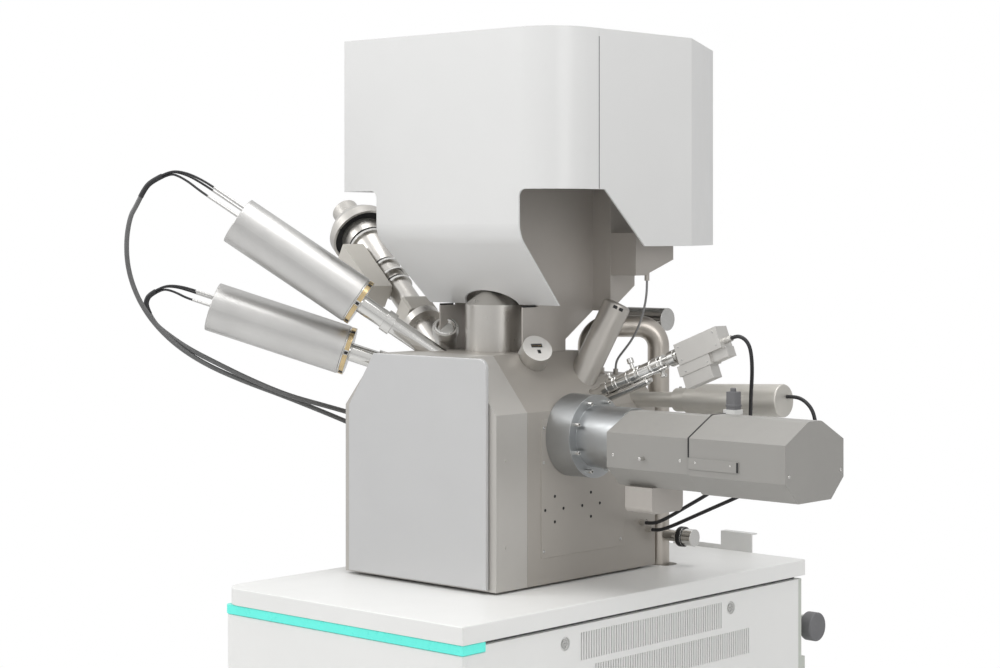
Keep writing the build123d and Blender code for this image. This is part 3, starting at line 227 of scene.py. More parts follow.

# The edge factor of each finish is the lightness of its painted edge highlight.
finishes = {
    "white_enamel": (surface("white_enamel", WHITE, 0.38, grain=(520, 0.00002), cloud=(4, 0.015), coat=0.15,
                             edge=1.03, edge_width=0.002), "white_enamel",
                     ["table_top", "front_panel", "right_panel", "left_panel"]),
    "shroud_enamel": (surface("shroud_enamel", SHROUD, 0.36, grain=(600, 0.00002), cloud=(3, 0.015), coat=0.2,
                              edge=1.05, edge_width=0.0016), "shroud_enamel",
                      ["shroud_right", "shroud_left", "shroud_front"]),
    "rear_enamel": (surface("rear_enamel", srgb(196, 200, 192), 0.45, grain=(700, 0.00002), cloud=(5, 0.03)),
                    "rear_enamel", ["rear_panel"]),
    "drive_enamel": (surface("drive_enamel", DRIVE, 0.42, grain=(900, 0.000018), cloud=(7, 0.025), coat=0.1,
                             edge=1.15), "white_enamel", ["drive_cover_inner", "drive_cover_outer"]),
    "cover_enamel": (surface("cover_enamel", COVER_GREY, 0.4, grain=(800, 0.000018), cloud=(6, 0.03), coat=0.1,
                             metallic=0.35), "cover_grey", ["inner_cover", "valve_box", "tilt_motor"]),
    "box_enamel": (surface("box_enamel", srgb(200, 196, 188), 0.45, grain=(800, 0.000018), cloud=(9, 0.03)),
                   "cover_grey", ["ion_box"]),
    "frame_coat": (surface("frame_coat", srgb(96, 98, 100), 0.6, grain=(1400, 0.00005), cloud=(7, 0.06)),
                   "frame_steel", ["base_frame", "isolation_stand"]),
    "chamber_coat": (surface("chamber_coat", CHAMBER, 0.4, metallic=0.4, grain=(1500, 0.00001), cloud=(5, 0.03),
                             edge=1.2), "chamber_metal", ["chamber_body"]),
    "door_block": (surface("door_block", srgb(190, 187, 182), 0.4, metallic=0.4, grain=(1500, 0.00001),
                           cloud=(5, 0.03), edge=1.2), "door_metal", ["chamber_door"]),
    "door_plate": (surface("door_plate", srgb(200, 200, 200), 0.36, metallic=0.25, grain=(1700, 0.000008),
                           cloud=(3, 0.015), edge=1.3, edge_width=0.0018, coat=0.1), "door_metal",
                   ["door_cover"]),
    "flange_metal": (surface("flange_metal", srgb(178, 180, 181), 0.4, metallic=1.0, grain=LINES,
                             stretch=TURNED, place=TILT_AXIS, cloud=(10, 0.05), edge=1.25),
                     "machined_aluminium", ["tilt_flange"]),
    "stage_metal": (surface("stage_metal", srgb(205, 205, 207), 0.35, metallic=1.0, grain=(1100, 0.000015),
                            stretch=(30, 1, 1), cloud=(12, 0.05)), "machined_aluminium",
                    ["tilt_cradle", "z_carriage", "y_carriage", "x_carriage"]),
    "turned_stage": (surface("turned_stage", srgb(205, 205, 207), 0.3, metallic=1.0, grain=LINES,
                             stretch=TURNED, place=UPRIGHT, cloud=(12, 0.05)), "machined_aluminium",
                     ["turntable"]),
    "column_metal": (surface("column_metal", srgb(196, 193, 188), 0.32, metallic=0.9, grain=LINES,
                             stretch=BRUSHED, place=UPRIGHT, cloud=(7, 0.05)), "column_metal",
                     ["objective_column", "gun_housing"]),
    "ion_metal": (surface("ion_metal", srgb(200, 197, 192), 0.32, metallic=0.9, grain=LINES,
                          stretch=TURNED, place=ION_AXIS, cloud=(8, 0.05), edge=1.2), "column_metal",
                  ["ion_column", "ion_head"]),
    "upper_metal": (surface("upper_metal", srgb(202, 201, 199), 0.4, metallic=1.0, grain=LINES,
                            stretch=BRUSHED, place=UPPER_AXIS, cloud=(8, 0.05), edge=1.2), "injector_metal",
                    ["injector_housing_upper"]),
    "lower_metal": (surface("lower_metal", srgb(202, 201, 199), 0.4, metallic=1.0, grain=LINES,
                            stretch=BRUSHED, place=LOWER_AXIS, cloud=(8, 0.05), edge=1.2), "injector_metal",
                    ["injector_housing_lower"]),
    "rear_metal": (surface("rear_metal", srgb(206, 203, 196), 0.44, metallic=0.55, grain=LINES,
                           stretch=BRUSHED, place=REAR_AXIS, cloud=(8, 0.05)), "injector_metal",
                   ["rear_detector"]),
    "camera_metal": (surface("camera_metal", srgb(206, 204, 200), 0.36, metallic=0.9, grain=LINES,
                             stretch=TURNED, place=CAMERA_AXIS, cloud=(12, 0.04), edge=1.2),
                     "machined_aluminium", ["port_camera"]),
    "oblique_metal": (surface("oblique_metal", srgb(184, 180, 174), 0.38, metallic=0.75, grain=LINES,
                              stretch=BRUSHED, place=OBLIQUE_AXIS, cloud=(9, 0.05)), "machined_aluminium",
                      ["oblique_port"]),
    "detector_coat": (surface("detector_coat", srgb(204, 202, 198), 0.36, metallic=0.6, grain=(1300, 0.00001),
                              stretch=(1, 1, 12), place=DETECTOR_AXIS, cloud=(14, 0.03), edge=1.2),
                      "machined_aluminium", ["detector_head"]),
    "pipe_metal": (surface("pipe_metal", srgb(192, 186, 178), 0.34, metallic=0.9, grain=(1000, 0.000012),
                           cloud=(12, 0.06)), "pipe_steel", ["vacuum_pipe", "turbo_pump"]),
    "bright_metal": (surface("bright_metal", BRIGHT, 0.14, metallic=1.0, grain=(1600, 0.000004),
                             cloud=(14, 0.03), smudge=0.05), "polished_metal",
                     ["injector_neck_upper", "injector_neck_lower", "detector_guide", "door_guides",
                      "branch_pipe"]),
    "gauge_metal": (surface("gauge_metal", BRIGHT, 0.2, metallic=1.0, grain=LINES, stretch=TURNED,
                            place=GAUGE_AXIS, cloud=(12, 0.04)), "pipe_steel", ["vacuum_gauge"]),
    "small_steel": (surface("small_steel", srgb(196, 196, 194), 0.26, metallic=1.0, grain=(1500, 0.00001),
                            cloud=(30, 0.05)), "small_steel", ["levelling_feet"]),
    "bracket_coat": (surface("bracket_coat", srgb(222, 222, 220), 0.42, grain=(900, 0.00002), cloud=(9, 0.02)),
                     "small_steel", ["rear_bracket"]),
    "seal_rubber": (surface("seal_rubber", srgb(34, 34, 36), 0.7, grain=(1800, 0.00003), cloud=(30, 0.15)),
                    "seal_rubber", ["door_seal", "isolators"]),
    "knob_plastic": (surface("knob_plastic", srgb(112, 112, 114), 0.5, grain=(2200, 0.00004),
                             cloud=(20, 0.08), edge=1.3), "knob_plastic", ["rear_knob"]),
    "strip_plastic": (glowing(surface("strip_plastic", srgb(92, 214, 202), 0.3, grain=(700, 0.00002),
                                      cloud=(14, 0.06), coat=0.3), srgb(80, 226, 208), 0.35),
                      "light_strip", ["led_strip"]),
}
for material, slot_name, members in finishes.values():
    for member in members:
        nodes[member].data.materials.clear()
        nodes[member].data.materials.append(material)

bright_metal = finishes["bright_metal"][0]
small_steel = finishes["small_steel"][0]
brass = surface("brass", srgb(206, 184, 142), 0.2, metallic=1.0, grain=(1500, 0.00001), cloud=(20, 0.06),
                edge=1.2)
black_plastic = surface("black_plastic", srgb(24, 24, 26), 0.45, grain=(2500, 0.00003), cloud=(30, 0.15),
                        edge=1.6)
black_cable = surface("black_cable", BLACK, 0.5, grain=(1800, 0.00003), cloud=(25, 0.15), edge_width=0.0004)
grey_cable = surface("grey_cable", srgb(104, 104, 104), 0.42, grain=(1500, 0.00003), cloud=(20, 0.1),
                     edge_width=0.0004)
hose_plastic = surface("hose_plastic", srgb(138, 138, 138), 0.3, grain=(1500, 0.00002), cloud=(25, 0.08),
                       edge_width=0.0004)
# Dark colour for joints and seams, and also painted shade in holes and under the shroud's skirt.
joint_and_shade_dark = surface("joint_and_shade_dark", srgb(30, 30, 31), 0.8, grain=(1500, 0.00002), cloud=(20, 0.2))


# Mesh pieces, each built in its place

def add_lathe(mesh, place, profile, sides=40, close=True):
    """Turned form from radius and height pairs, in millimetres along the Z of its place."""
    rings = []
    for radius, height in profile:
        ring = []
        for step in range(sides):
            turn = 2 * pi * step / sides
            spot = Vector((radius * cos(turn), radius * sin(turn), height)) * MM
            ring.append(mesh.verts.new(place @ spot))
        rings.append(ring)
    for lower, upper in zip(rings, rings[1:]):
        for step in range(sides):
            after = (step + 1) % sides
            mesh.faces.new((lower[step], lower[after], upper[after], upper[step]))
    if close:
        mesh.faces.new(list(reversed(rings[0])))
        mesh.faces.new(rings[-1])


def add_prism(mesh, place, outline, low, high):
    """Outline in the XY plane of its place, raised from low to high, in millimetres."""
    floor = [mesh.verts.new(place @ (Vector((x, y, low)) * MM)) for x, y in outline]
    roof = [mesh.verts.new(place @ (Vector((x, y, high)) * MM)) for x, y in outline]
    mesh.faces.new(list(reversed(floor)))
    mesh.faces.new(roof)
    for step in range(len(outline)):
        after = (step + 1) % len(outline)
        mesh.faces.new((floor[step], floor[after], roof[after], roof[step]))


def rectangle(x0, x1, y0, y1, corner=0.0):
    """Outline of a rectangle, with cut corners where a corner size is given."""
    if not corner:
        return [(x0, y0), (x1, y0), (x1, y1), (x0, y1)]
    return [(x0 + corner, y0), (x1 - corner, y0), (x1, y0 + corner), (x1, y1 - corner),
            (x1 - corner, y1), (x0 + corner, y1), (x0, y1 - corner), (x0, y0 + corner)]


def add_arc(mesh, place, inner, outer, low, high, start, end, steps=14):
    """Part of a ring between two angles, in degrees."""
    outer_side = [(outer * cos(radians(start + (end - start) * i / steps)),
                   outer * sin(radians(start + (end - start) * i / steps))) for i in range(steps + 1)]
    inner_side = [(inner * cos(radians(end + (start - end) * i / steps)),
                   inner * sin(radians(end + (start - end) * i / steps))) for i in range(steps + 1)]
    add_prism(mesh, place, outer_side + inner_side, low, high)


def add_screw(mesh, place, radius, height, depth=0.6):
    """Screw head with a hexagon socket, standing on the XY plane of its place."""
    chamfer = radius * SCREW_CHAMFER
    sides = 36
    hollow = radius * SCREW_SOCKET
    add_lathe(mesh, place, [
        (radius, 0), (radius, height - chamfer), (radius - chamfer, height), (hollow * 1.12, height),
    ], sides, close=False)
    rim = list(mesh.verts)[-sides:]
    hexagon = []
    for level in (height - chamfer * 0.4, height * (1 - depth)):
        ring = []
        for corner in range(sides):
            turn = 2 * pi * corner / sides
            within = (turn + pi / 6) % (pi / 3) - pi / 6
            reach = hollow * cos(pi / 6) / cos(within)
            ring.append(mesh.verts.new(place @ (Vector((reach * cos(turn), reach * sin(turn), level)) * MM)))
        hexagon.append(ring)
    for lower, upper in ((rim, hexagon[0]), (hexagon[0], hexagon[1])):
        for step in range(sides):
            after = (step + 1) % sides
            mesh.faces.new((lower[step], lower[after], upper[after], upper[step]))
    mesh.faces.new(hexagon[1])


def piece(name, body, material, build, replaced=()):
    """Object from a mesh that a function fills, riding on a body."""
    mesh = bmesh.new()
    build(mesh)
    bmesh.ops.recalc_face_normals(mesh, faces=mesh.faces)
    data = bpy.data.meshes.new(name)
    mesh.to_mesh(data)
    mesh.free()
    for face in data.polygons:
        face.use_smooth = True
    data.set_sharp_from_angle(angle=radians(SHARP_ANGLE))
    data.materials.append(material)
    made = bpy.data.objects.new(name, data)
    scene.collection.objects.link(made)
    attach(made, body)
    if replaced:
        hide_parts(*replaced)
    return made


def spot_on_x(x, y, z):
    """Place on a wall that faces +X."""
    return placed((x, y, z), 0, 0)


def spot_on_front(x, y, z):
    """Place on a wall that faces -Y."""
    return placed((x, y, z), -90, 0)


def flange_bolts(mesh):
    for step in range(8):
        turn = radians(22.5 + 45 * step)
        add_screw(mesh, spot_on_x(FLANGE_END, FLANGE_BOLT_CIRCLE * cos(turn),
                                  TILT_Z + FLANGE_BOLT_CIRCLE * sin(turn)), 4.5, 14)


def plate_screws(mesh):
    for y, z in ((-95, 335), (-95, 262), (-95, 75), (160, 75), (160, 335), (160, 200)):
        add_screw(mesh, spot_on_x(PLATE_FACE, y, z), 3.2, 1.6, depth=0.9)


piece("flange_bolts", "root", bright_metal, flange_bolts, ["chamber_screws"])
piece("plate_screws", "root", small_steel, plate_screws, ["chamber_screws"])

# Threaded holes in the chamber's side, as countersunk dimples coloured dark as painted shade inside the holes
side_holes = [(-59, 188), (60, 186), (90, 160), (31, 160), (-31, 160), (-90, 161), (60, 134), (-59, 134)]


def wall_holes(mesh):
    for y, z in side_holes:
        add_lathe(mesh, spot_on_x(PLATE_FACE, y, z), [(3.4, 0.0), (3.2, 0.25), (2.2, 0.12)], 24)
    add_lathe(mesh, spot_on_x(WALL_FACE, 253, 102.6), [(6.0, 0.0), (5.6, 0.4), (3.6, 0.1)], 28)


piece("wall_holes", "root", joint_and_shade_dark, wall_holes)


fastener_places = [place for y in (-237, 321) for z in (-76, -560)
                   for place in (spot_on_x(PANEL_FACE, y, z), placed((LEFT_PANEL_FACE, y, z), 180, 0))]


def quarter_turns(mesh):
    """Panel fasteners with a slotted face in a recess."""
    for place in fastener_places:
        add_lathe(mesh, place, [(9, -4), (9, -0.4), (8.2, 0.5), (6.4, 0.5), (5.8, -0.8)], 36)
        add_prism(mesh, place, rectangle(-5.2, 5.2, -1.3, 1.3, 0.6), -0.8, 0.3)


piece("panel_turns", "root", small_steel, quarter_turns, ["panel_fasteners"])


def fastener_rims(mesh):
    """Shallow rims round the fastener recesses."""
    for place in fastener_places:
        add_lathe(mesh, place, [(13.4, -3.9), (13.4, 0.2), (14.4, 0.5), (15.0, 0.3), (15.0, 0.0)], 44,
                  close=False)


piece("fastener_rims", "root", finishes["bracket_coat"][0], fastener_rims)


# Injector rings: a polished core with pale brass segments and dark gaps
ring_places = ((UPPER_AXIS, 356), (LOWER_AXIS, 340))


def ring_cores(mesh):
    for place, start in ring_places:
        add_lathe(mesh, place, [(48, start), (52.6, start + 1.2), (52.6, start + 12), (54, start + 12.4),
                                (54, start + 15)], 72)


def ring_segments(mesh):
    for place, start in ring_places:
        for step in range(6):
            add_arc(mesh, place, 51, 54, start + 1.5, start + 11.5, 60 * step + 5, 60 * step + 53)


piece("ring_cores", "root", bright_metal, ring_cores, ["injector_rings"])
piece("ring_segments", "root", brass, ring_segments, ["injector_rings"])


def ring_clips(mesh):
    for place, start in ring_places:
        for step in range(6):
            add_arc(mesh, place, 51.4, 53.8, start + 2.5, start + 10.5, 60 * step - 4.6, 60 * step + 2.2, 4)


piece("ring_clips", "root", black_plastic, ring_clips)


# Connectors in the camera port and in the oblique port's cap

def camera_sockets(mesh):
    add_prism(mesh, CAMERA_AXIS, rectangle(-12.4, 12.4, 2.6, 11.4, 1.2), CAMERA_END - 4.9, CAMERA_END - 1.2)
    add_prism(mesh, CAMERA_AXIS, rectangle(-1.6, 5.6, -13.6, -4.4, 1.0), CAMERA_END - 4.9, CAMERA_END - 1.0)


def camera_pins(mesh):
    for step in range(8):
        pin = Matrix.Translation((CAMERA_AXIS.to_3x3() @ Vector((-9.5 + 2.7 * step, 7, 0))) * MM) @ CAMERA_AXIS
        add_lathe(mesh, pin, [(0.7, CAMERA_END - 1.6), (0.7, CAMERA_END - 0.7), (0.3, CAMERA_END - 0.4)], 12)


def oblique_sockets(mesh):
    """Two slots in the cap's side."""
    for start, end in ((158, 176), (184, 202)):
        add_arc(mesh, OBLIQUE_AXIS, OBLIQUE_RADIUS - 1.0, OBLIQUE_RADIUS + 0.3, 153, 160, start, end)


piece("camera_sockets", "root", black_plastic, camera_sockets)
piece("camera_pins", "root", brass, camera_pins)
piece("oblique_sockets", "root", black_plastic, oblique_sockets)


# Dark line in the seam of the shroud's covers, painted shadow as a dark strip on the inner cover's low edges,
# and its rear wall
def shroud_seams(mesh):
    for side in (-1, 1):
        place = placed((side * SHROUD_HALF_WIDTH, 0, 0), 0 if side > 0 else 180, 0)
        middle = side * SHROUD_SEAM_Y
        add_prism(mesh, place, rectangle(middle - 0.9, middle + 0.9, 839, 1160), -1.0, 0.25)


# Painted shadow: dark strips on the inner cover's low edges, where the gap under the shroud's skirt lies in
# shade.
def cover_shadow_strip(mesh):
    for side in (-1, 1):
        near, far = sorted((side * (INNER_WIDTH - 4), side * INNER_WIDTH))
        add_prism(mesh, UPRIGHT, rectangle(-47, -6, -far, -near), 584.6, 588.6)


def cover_wall(mesh):
    add_prism(mesh, spot_on_front(0, 99, 0), rectangle(-110, 110, 566, 606, 3), 0, 3)


piece("shroud_seams", "root", joint_and_shade_dark, shroud_seams)
piece("cover_shadow_strip", "root", joint_and_shade_dark, cover_shadow_strip)
piece("cover_wall", "root", finishes["cover_enamel"][0], cover_wall)


# Small port with a glass in its end, on the chamber between the ion column and the objective
def port_tube(mesh):
    add_lathe(mesh, PORT_AXIS, [(24, -24), (24, 52), (29, 53), (29, 70), (28, 72), (24, 72.5), (24, 68)], 56,
              close=False)


def port_ring(mesh):
    add_lathe(mesh, PORT_AXIS, [(24, 66), (24, 73), (20.5, 74), (18, 71), (18, 66)], 56, close=False)
    for step in range(6):
        turn = radians(60 * step)
        add_screw(mesh, PORT_AXIS @ Matrix.Translation(Vector((26.4 * cos(turn), 26.4 * sin(turn), 72.3)) * MM),
                  1.8, 1.2)


def port_glass(mesh):
    add_lathe(mesh, PORT_AXIS, [(18.4, 64), (18.4, 68.5), (10, 69.6), (3, 70)], 48)


piece("port_tube", "root", finishes["camera_metal"][0], port_tube)
piece("port_ring", "root", bright_metal, port_ring)
piece("port_glass", "root", bright_metal, port_glass)


# Drive covers: screws, pin, guide strip's edge and its dark end, dust lip in the seam
def drive_screws(mesh):
    for x in (415, 587):
        add_screw(mesh, spot_on_front(x, DRIVE_INNER_SIDE, 292), 3.4, 1.4, depth=0.9)
    for x in (629, 714):
        add_screw(mesh, spot_on_front(x, -102, 291.5), 2.2, 0.8, depth=0.9)
    for y in (-88, 89):
        add_screw(mesh, spot_on_x(DRIVE_END, y, 278.5), 3.4, 1.6, depth=0.9)
    pin = spot_on_front(494, DRIVE_INNER_SIDE, 290)
    add_lathe(mesh, pin, [(4.2, 0), (4.2, 6), (3.6, 14), (2.6, 15)], 28)


def strip_end(mesh):
    add_prism(mesh, spot_on_front(0, DRIVE_SIDE, 0), rectangle(729, 733.5, 279, 299), 1.9, 2.5)


def seam_lip(mesh):
    """Dust lip over the upper half of the seam between the drive's covers."""
    outer = [(-100.7, 301), (-100.7, 339.9), (-22.2, 381.3), (22.2, 381.3), (100.7, 339.9), (100.7, 301)]
    inner = [(-97.8, 301), (-97.8, 338), (-21.5, 378), (21.5, 378), (97.8, 338), (97.8, 301)]
    add_prism(mesh, spot_on_x(0, 0, 0), outer + inner[::-1], DRIVE_SEAM - 2.8, DRIVE_SEAM + 0.4)


def plug_base(mesh):
    """White foot of the plug on the drive's top."""
    add_prism(mesh, UPRIGHT, rectangle(22, 54, -634, -604, 3), 378, 388)


def plug_box(mesh):
    """Dark plug with its strain relief, on the drive's top."""
    add_prism(mesh, UPRIGHT, rectangle(28, 51, -631, -608, 2), 388, 424)
    add_prism(mesh, UPRIGHT, rectangle(26.5, 52.5, -632.5, -606.5, 3), 394, 398)
    add_lathe(mesh, placed((619, 39, 0)), [(6, 424), (6, 431), (4.4, 432)], 28)


piece("seam_lip", "root", black_plastic, seam_lip)
piece("plug_base", "root", finishes["bracket_coat"][0], plug_base)
piece("plug_box", "root", finishes["knob_plastic"][0], plug_box)
piece("drive_screws", "root", bright_metal, drive_screws)
piece("strip_end", "root", black_plastic, strip_end)


# Retractable detector: guide bars, thumb screws, cover screws and its cable's plug
def off_axis(place, x, y):
    """The same place moved sideways in its own plane."""
    return place @ Matrix.Translation(Vector((x, y, 0)) * MM)


def guide_bars(mesh):
    for x, y, end in ((-13, 4, 236), (13, 4, 236), (-9, -13, 214)):
        add_lathe(mesh, off_axis(DETECTOR_AXIS, x, y), [(2.2, 40), (2.6, 41), (2.6, end - 1), (2.2, end)], 20)
    add_lathe(mesh, DETECTOR_AXIS, [(13.6, 24), (15.0, 25), (15.0, 204), (14.4, 205)], 48)
    add_lathe(mesh, off_axis(DETECTOR_AXIS, -6, -24), [(6, 30), (8, 31), (8, 150), (5, 152), (5, 160)], 32)
    for start in (38, 66, 98, 132, 166, 198):
        add_lathe(mesh, DETECTOR_AXIS, [(15.0, start), (16.2, start + 0.8), (16.2, start + 4.2),
                                        (15.0, start + 5)], 48)


def thumb_screws(mesh):
    """Posts with knurled heads on two of the clamps."""
    for height, x, reach, side in ((120, -6, 21, 1), (54, -8, 10, 1), (184, 8, 12, -1), (120, 6, 12, -1)):
        post = DETECTOR_AXIS @ Matrix.Translation(Vector((x, 0, height)) * MM) @ Matrix.Rotation(
            radians(-90 * side), 4, "X")
        add_lathe(mesh, post, [(4.2, 14), (4.2, 16 + reach * 0.45), (7.4, 16 + reach * 0.5),
                               (7.4, 15 + reach), (6.4, 16 + reach)], 18)


def head_screws(mesh):
    side = DETECTOR_AXIS @ Matrix.Rotation(radians(-90), 4, "Y")
    for along, up in ((262, 13), (262, -15), (357, 13), (357, -15), (262, -40), (322, -40)):
        place = side @ Matrix.Translation(Vector((along, up, 20 if up > -24 else 18)) * MM)
        add_screw(mesh, place, 2.0, 0.8, depth=0.9)


piece("guide_bars", "root", bright_metal, guide_bars)
piece("thumb_screws", "root", bright_metal, thumb_screws)
piece("head_screws", "detector", small_steel, head_screws)


# Ion column's head: cable outlets on the cap and a dark slot in the rim
def ion_outlets(mesh):
    end = ION_CAP_END
    for x, y in ((-14, 14), (16, -10)):
        add_lathe(mesh, off_axis(ION_AXIS, x, y), [(7, end), (7, end + 5), (5.4, end + 6), (5.4, end + 9),
                                                   (3.5, end + 10)], 28)
    shoulder = Matrix.Translation((0, 0, ION_SHOULDER_END * MM))
    circle = 38.5
    for step in range(6):
        turn = radians(60 * step + 20)
        add_screw(mesh, off_axis(ION_AXIS, circle * cos(turn), circle * sin(turn)) @ shoulder, 3.2, 2.4)


def ion_slot(mesh):
    place = ION_AXIS @ Matrix.Rotation(radians(-118), 4, "Z") @ Matrix.Rotation(radians(90), 4, "Y")
    add_prism(mesh, place, rectangle(-756, -740, -7, 7, 1.0), 76.4, 77.5)


def ion_rings(mesh):
    """Rings and groove walls on the column below the head."""
    for start, radius in ((520, 36), (548, 40), (590, 36), (690, 52)):
        add_lathe(mesh, ION_AXIS, [(29, start), (radius - 1, start), (radius, start + 1), (radius, start + 7),
                                   (radius - 1, start + 8), (29, start + 8)], 64)


def ion_gaps(mesh):
    """Dark joints in the column and below the head's rim."""
    for start, radius in ((529, 31.2), (557, 31.2), (599, 31.4), (699, 49)):
        add_lathe(mesh, ION_AXIS, [(29, start), (radius, start + 0.5), (radius, start + 7), (29, start + 8)],
                  48)
    add_lathe(mesh, ION_AXIS, [(53, 741), (70, 741.5), (70, 743), (53, 744)], 64)


def ion_clamp(mesh):
    """Block round the column above the chamber."""
    add_prism(mesh, ION_AXIS, rectangle(-38, 38, -33, 33, 5), 398, 444)
    add_prism(mesh, ION_AXIS, rectangle(-31, 31, -26, 26, 5), 444, 452)


piece("ion_rings", "root", bright_metal, ion_rings)
piece("ion_gaps", "root", joint_and_shade_dark, ion_gaps)
piece("ion_clamp", "root", finishes["box_enamel"][0], ion_clamp)
piece("ion_outlets", "root", small_steel, ion_outlets)
piece("ion_slot", "root", black_plastic, ion_slot)


# Branch pipe's black seal and the clip on the rear detector
def branch_seal(mesh):
    add_lathe(mesh, BRANCH_AXIS, [(21.6, 263), (22.6, 264), (22.6, 275), (21.6, 276)], 48)


def clip_screws(mesh):
    for along in (151, 171):
        add_screw(mesh, off_axis(REAR_AXIS, 0, 0) @ Matrix.Translation((0, 0, along * MM))
                  @ Matrix.Rotation(radians(-90), 4, "X") @ Matrix.Translation((0, 0, 25.5 * MM)), 3.0, 3.4)


piece("branch_seal", "root", black_plastic, branch_seal)
piece("clip_screws", "root", small_steel, clip_screws)


# Cords: the routes of the part's source, as control points of smooth curves
def curve_of(name, route, diameter, material):
    """Smooth tube whose control points are a route, in millimetres off the beam axis."""
    data = bpy.data.curves.new(name, "CURVE")
    data.dimensions = "3D"
    data.bevel_depth = diameter / 2
    data.bevel_resolution = 5
    data.resolution_u = 10
    data.use_fill_caps = True
    spline = data.splines.new("NURBS")
    spline.points.add(len(route) - 1)
    for point, spot in zip(spline.points, route):
        point.co = (*(BEAM + Vector(spot)), 1)
    spline.order_u = 3
    spline.use_endpoint_u = True
    data.materials.append(material)
    made = bpy.data.objects.new(name, data)
    scene.collection.objects.link(made)
    return made


def curve_points(curve):
    """Points along the curve's own line."""
    thin = curve.data.copy()
    thin.bevel_depth = 0
    probe = bpy.data.objects.new("probe", thin)
    scene.collection.objects.link(probe)
    bpy.context.view_layer.update()
    line = bpy.data.meshes.new_from_object(probe.evaluated_get(bpy.context.evaluated_depsgraph_get()))
    points = [tuple(v.co) for v in line.vertices]
    bpy.data.objects.remove(probe)
    bpy.data.meshes.remove(line)
    return points


def length_of(points):
    return sum((Vector(b) - Vector(a)).length for a, b in zip(points, points[1:]))


LEAD = 0.0052
SLEEVE = 0.0120
INJECTOR_CABLE = 0.0108
DETECTOR_CABLE = 0.0080
HOSE = 0.0052

lead_routes = [
    [
        (-0.4553, -0.4224, 0.8463), (-0.4676, -0.4336, 0.8575), (-0.4936, -0.4536, 0.8742),
        (-0.5162, -0.4707, 0.8820), (-0.5339, -0.4838, 0.8809), (-0.5458, -0.4947, 0.8731),
    ],
    [
        (-0.4721, -0.4106, 0.8396), (-0.4843, -0.4218, 0.8508), (-0.5056, -0.4444, 0.8696),
        (-0.5239, -0.4644, 0.8797), (-0.5376, -0.4797, 0.8809), (-0.5496, -0.4906, 0.8731),
    ],
    [
        (-0.4608, -0.4355, 0.8272), (-0.4730, -0.4466, 0.8384), (-0.4967, -0.4605, 0.8591),
        (-0.5183, -0.4723, 0.8723), (-0.5342, -0.4803, 0.8766), (-0.5462, -0.4912, 0.8688),
    ],
    [
        (-0.5237, -0.4167, 0.6167), (-0.5350, -0.4270, 0.6217), (-0.5562, -0.4405, 0.6272),
        (-0.5758, -0.4525, 0.6281), (-0.5912, -0.4616, 0.6230), (-0.6003, -0.4699, 0.6163),
    ],
    [
        (-0.5386, -0.4032, 0.6110), (-0.5498, -0.4134, 0.6160), (-0.5670, -0.4301, 0.6232),
        (-0.5829, -0.4456, 0.6262), (-0.5949, -0.4575, 0.6230), (-0.6040, -0.4658, 0.6163),
    ],
    [
        (-0.5246, -0.4256, 0.5967), (-0.5358, -0.4358, 0.6017), (-0.5565, -0.4446, 0.6122),
        (-0.5763, -0.4527, 0.6187), (-0.5914, -0.4580, 0.6188), (-0.6004, -0.4663, 0.6120),
    ],
]
sleeve_routes = [
    [
        (-0.5472, -0.4922, 0.8717), (-0.5642, -0.5077, 0.8606), (-0.5760, -0.5184, 0.8442),
        (-0.5829, -0.5246, 0.8252),
    ],
    [
        (-0.6016, -0.4673, 0.6148), (-0.6118, -0.4766, 0.6072), (-0.6173, -0.4816, 0.5943),
        (-0.6173, -0.4816, 0.5790), (-0.6118, -0.4766, 0.5643),
    ],
]
injector_cable_routes = [
    [
        (-0.5829, -0.5246, 0.8252), (-0.5906, -0.5317, 0.8036), (-0.6000, -0.5400, 0.7830),
        (-0.6070, -0.5460, 0.7300), (-0.6120, -0.5380, 0.6680), (-0.6060, -0.5180, 0.6060),
        (-0.5920, -0.4860, 0.5490), (-0.5680, -0.4400, 0.4960), (-0.5340, -0.3820, 0.4510),
        (-0.4930, -0.3080, 0.4120), (-0.4460, -0.2240, 0.3750), (-0.4020, -0.1440, 0.3370),
        (-0.3580, -0.0720, 0.3000), (-0.3320, -0.0080, 0.2680), (-0.3060, 0.0440, 0.2430),
        (-0.2800, 0.0720, 0.2320), (-0.2560, 0.0840, 0.2276), (-0.2380, 0.0840, 0.2276),
    ],
    [
        (-0.6118, -0.4766, 0.5643), (-0.6046, -0.4700, 0.5446), (-0.5880, -0.4520, 0.5230),
        (-0.5560, -0.4150, 0.4880), (-0.5160, -0.3650, 0.4540), (-0.4750, -0.3000, 0.4150),
        (-0.4290, -0.2260, 0.3770), (-0.3850, -0.1520, 0.3520), (-0.3560, -0.0780, 0.3280),
        (-0.3300, -0.0020, 0.3020), (-0.3030, 0.0580, 0.2780), (-0.2790, 0.0920, 0.2620),
        (-0.2560, 0.1040, 0.2560), (-0.2380, 0.1040, 0.2560),
    ],
]
detector_cable_route = [
    (0.5734, 0.0960, 0.5291), (0.5844, 0.0960, 0.5334), (0.5962, 0.0965, 0.5326),
    (0.6065, 0.0980, 0.5269), (0.6134, 0.1000, 0.5174), (0.6165, 0.1030, 0.5038),
    (0.6157, 0.1085, 0.4800), (0.6090, 0.1180, 0.4490), (0.5970, 0.1310, 0.4150),
    (0.5840, 0.1480, 0.3800), (0.5700, 0.1660, 0.3450), (0.5520, 0.1830, 0.3100),
    (0.5280, 0.1980, 0.2750), (0.4980, 0.2090, 0.2400), (0.4600, 0.2150, 0.2070),
    (0.4140, 0.2170, 0.1790), (0.3620, 0.2180, 0.1510), (0.3160, 0.2220, 0.1260),
    (0.2780, 0.2290, 0.1090), (0.2520, 0.2345, 0.1036), (0.2383, 0.2345, 0.1036),
]
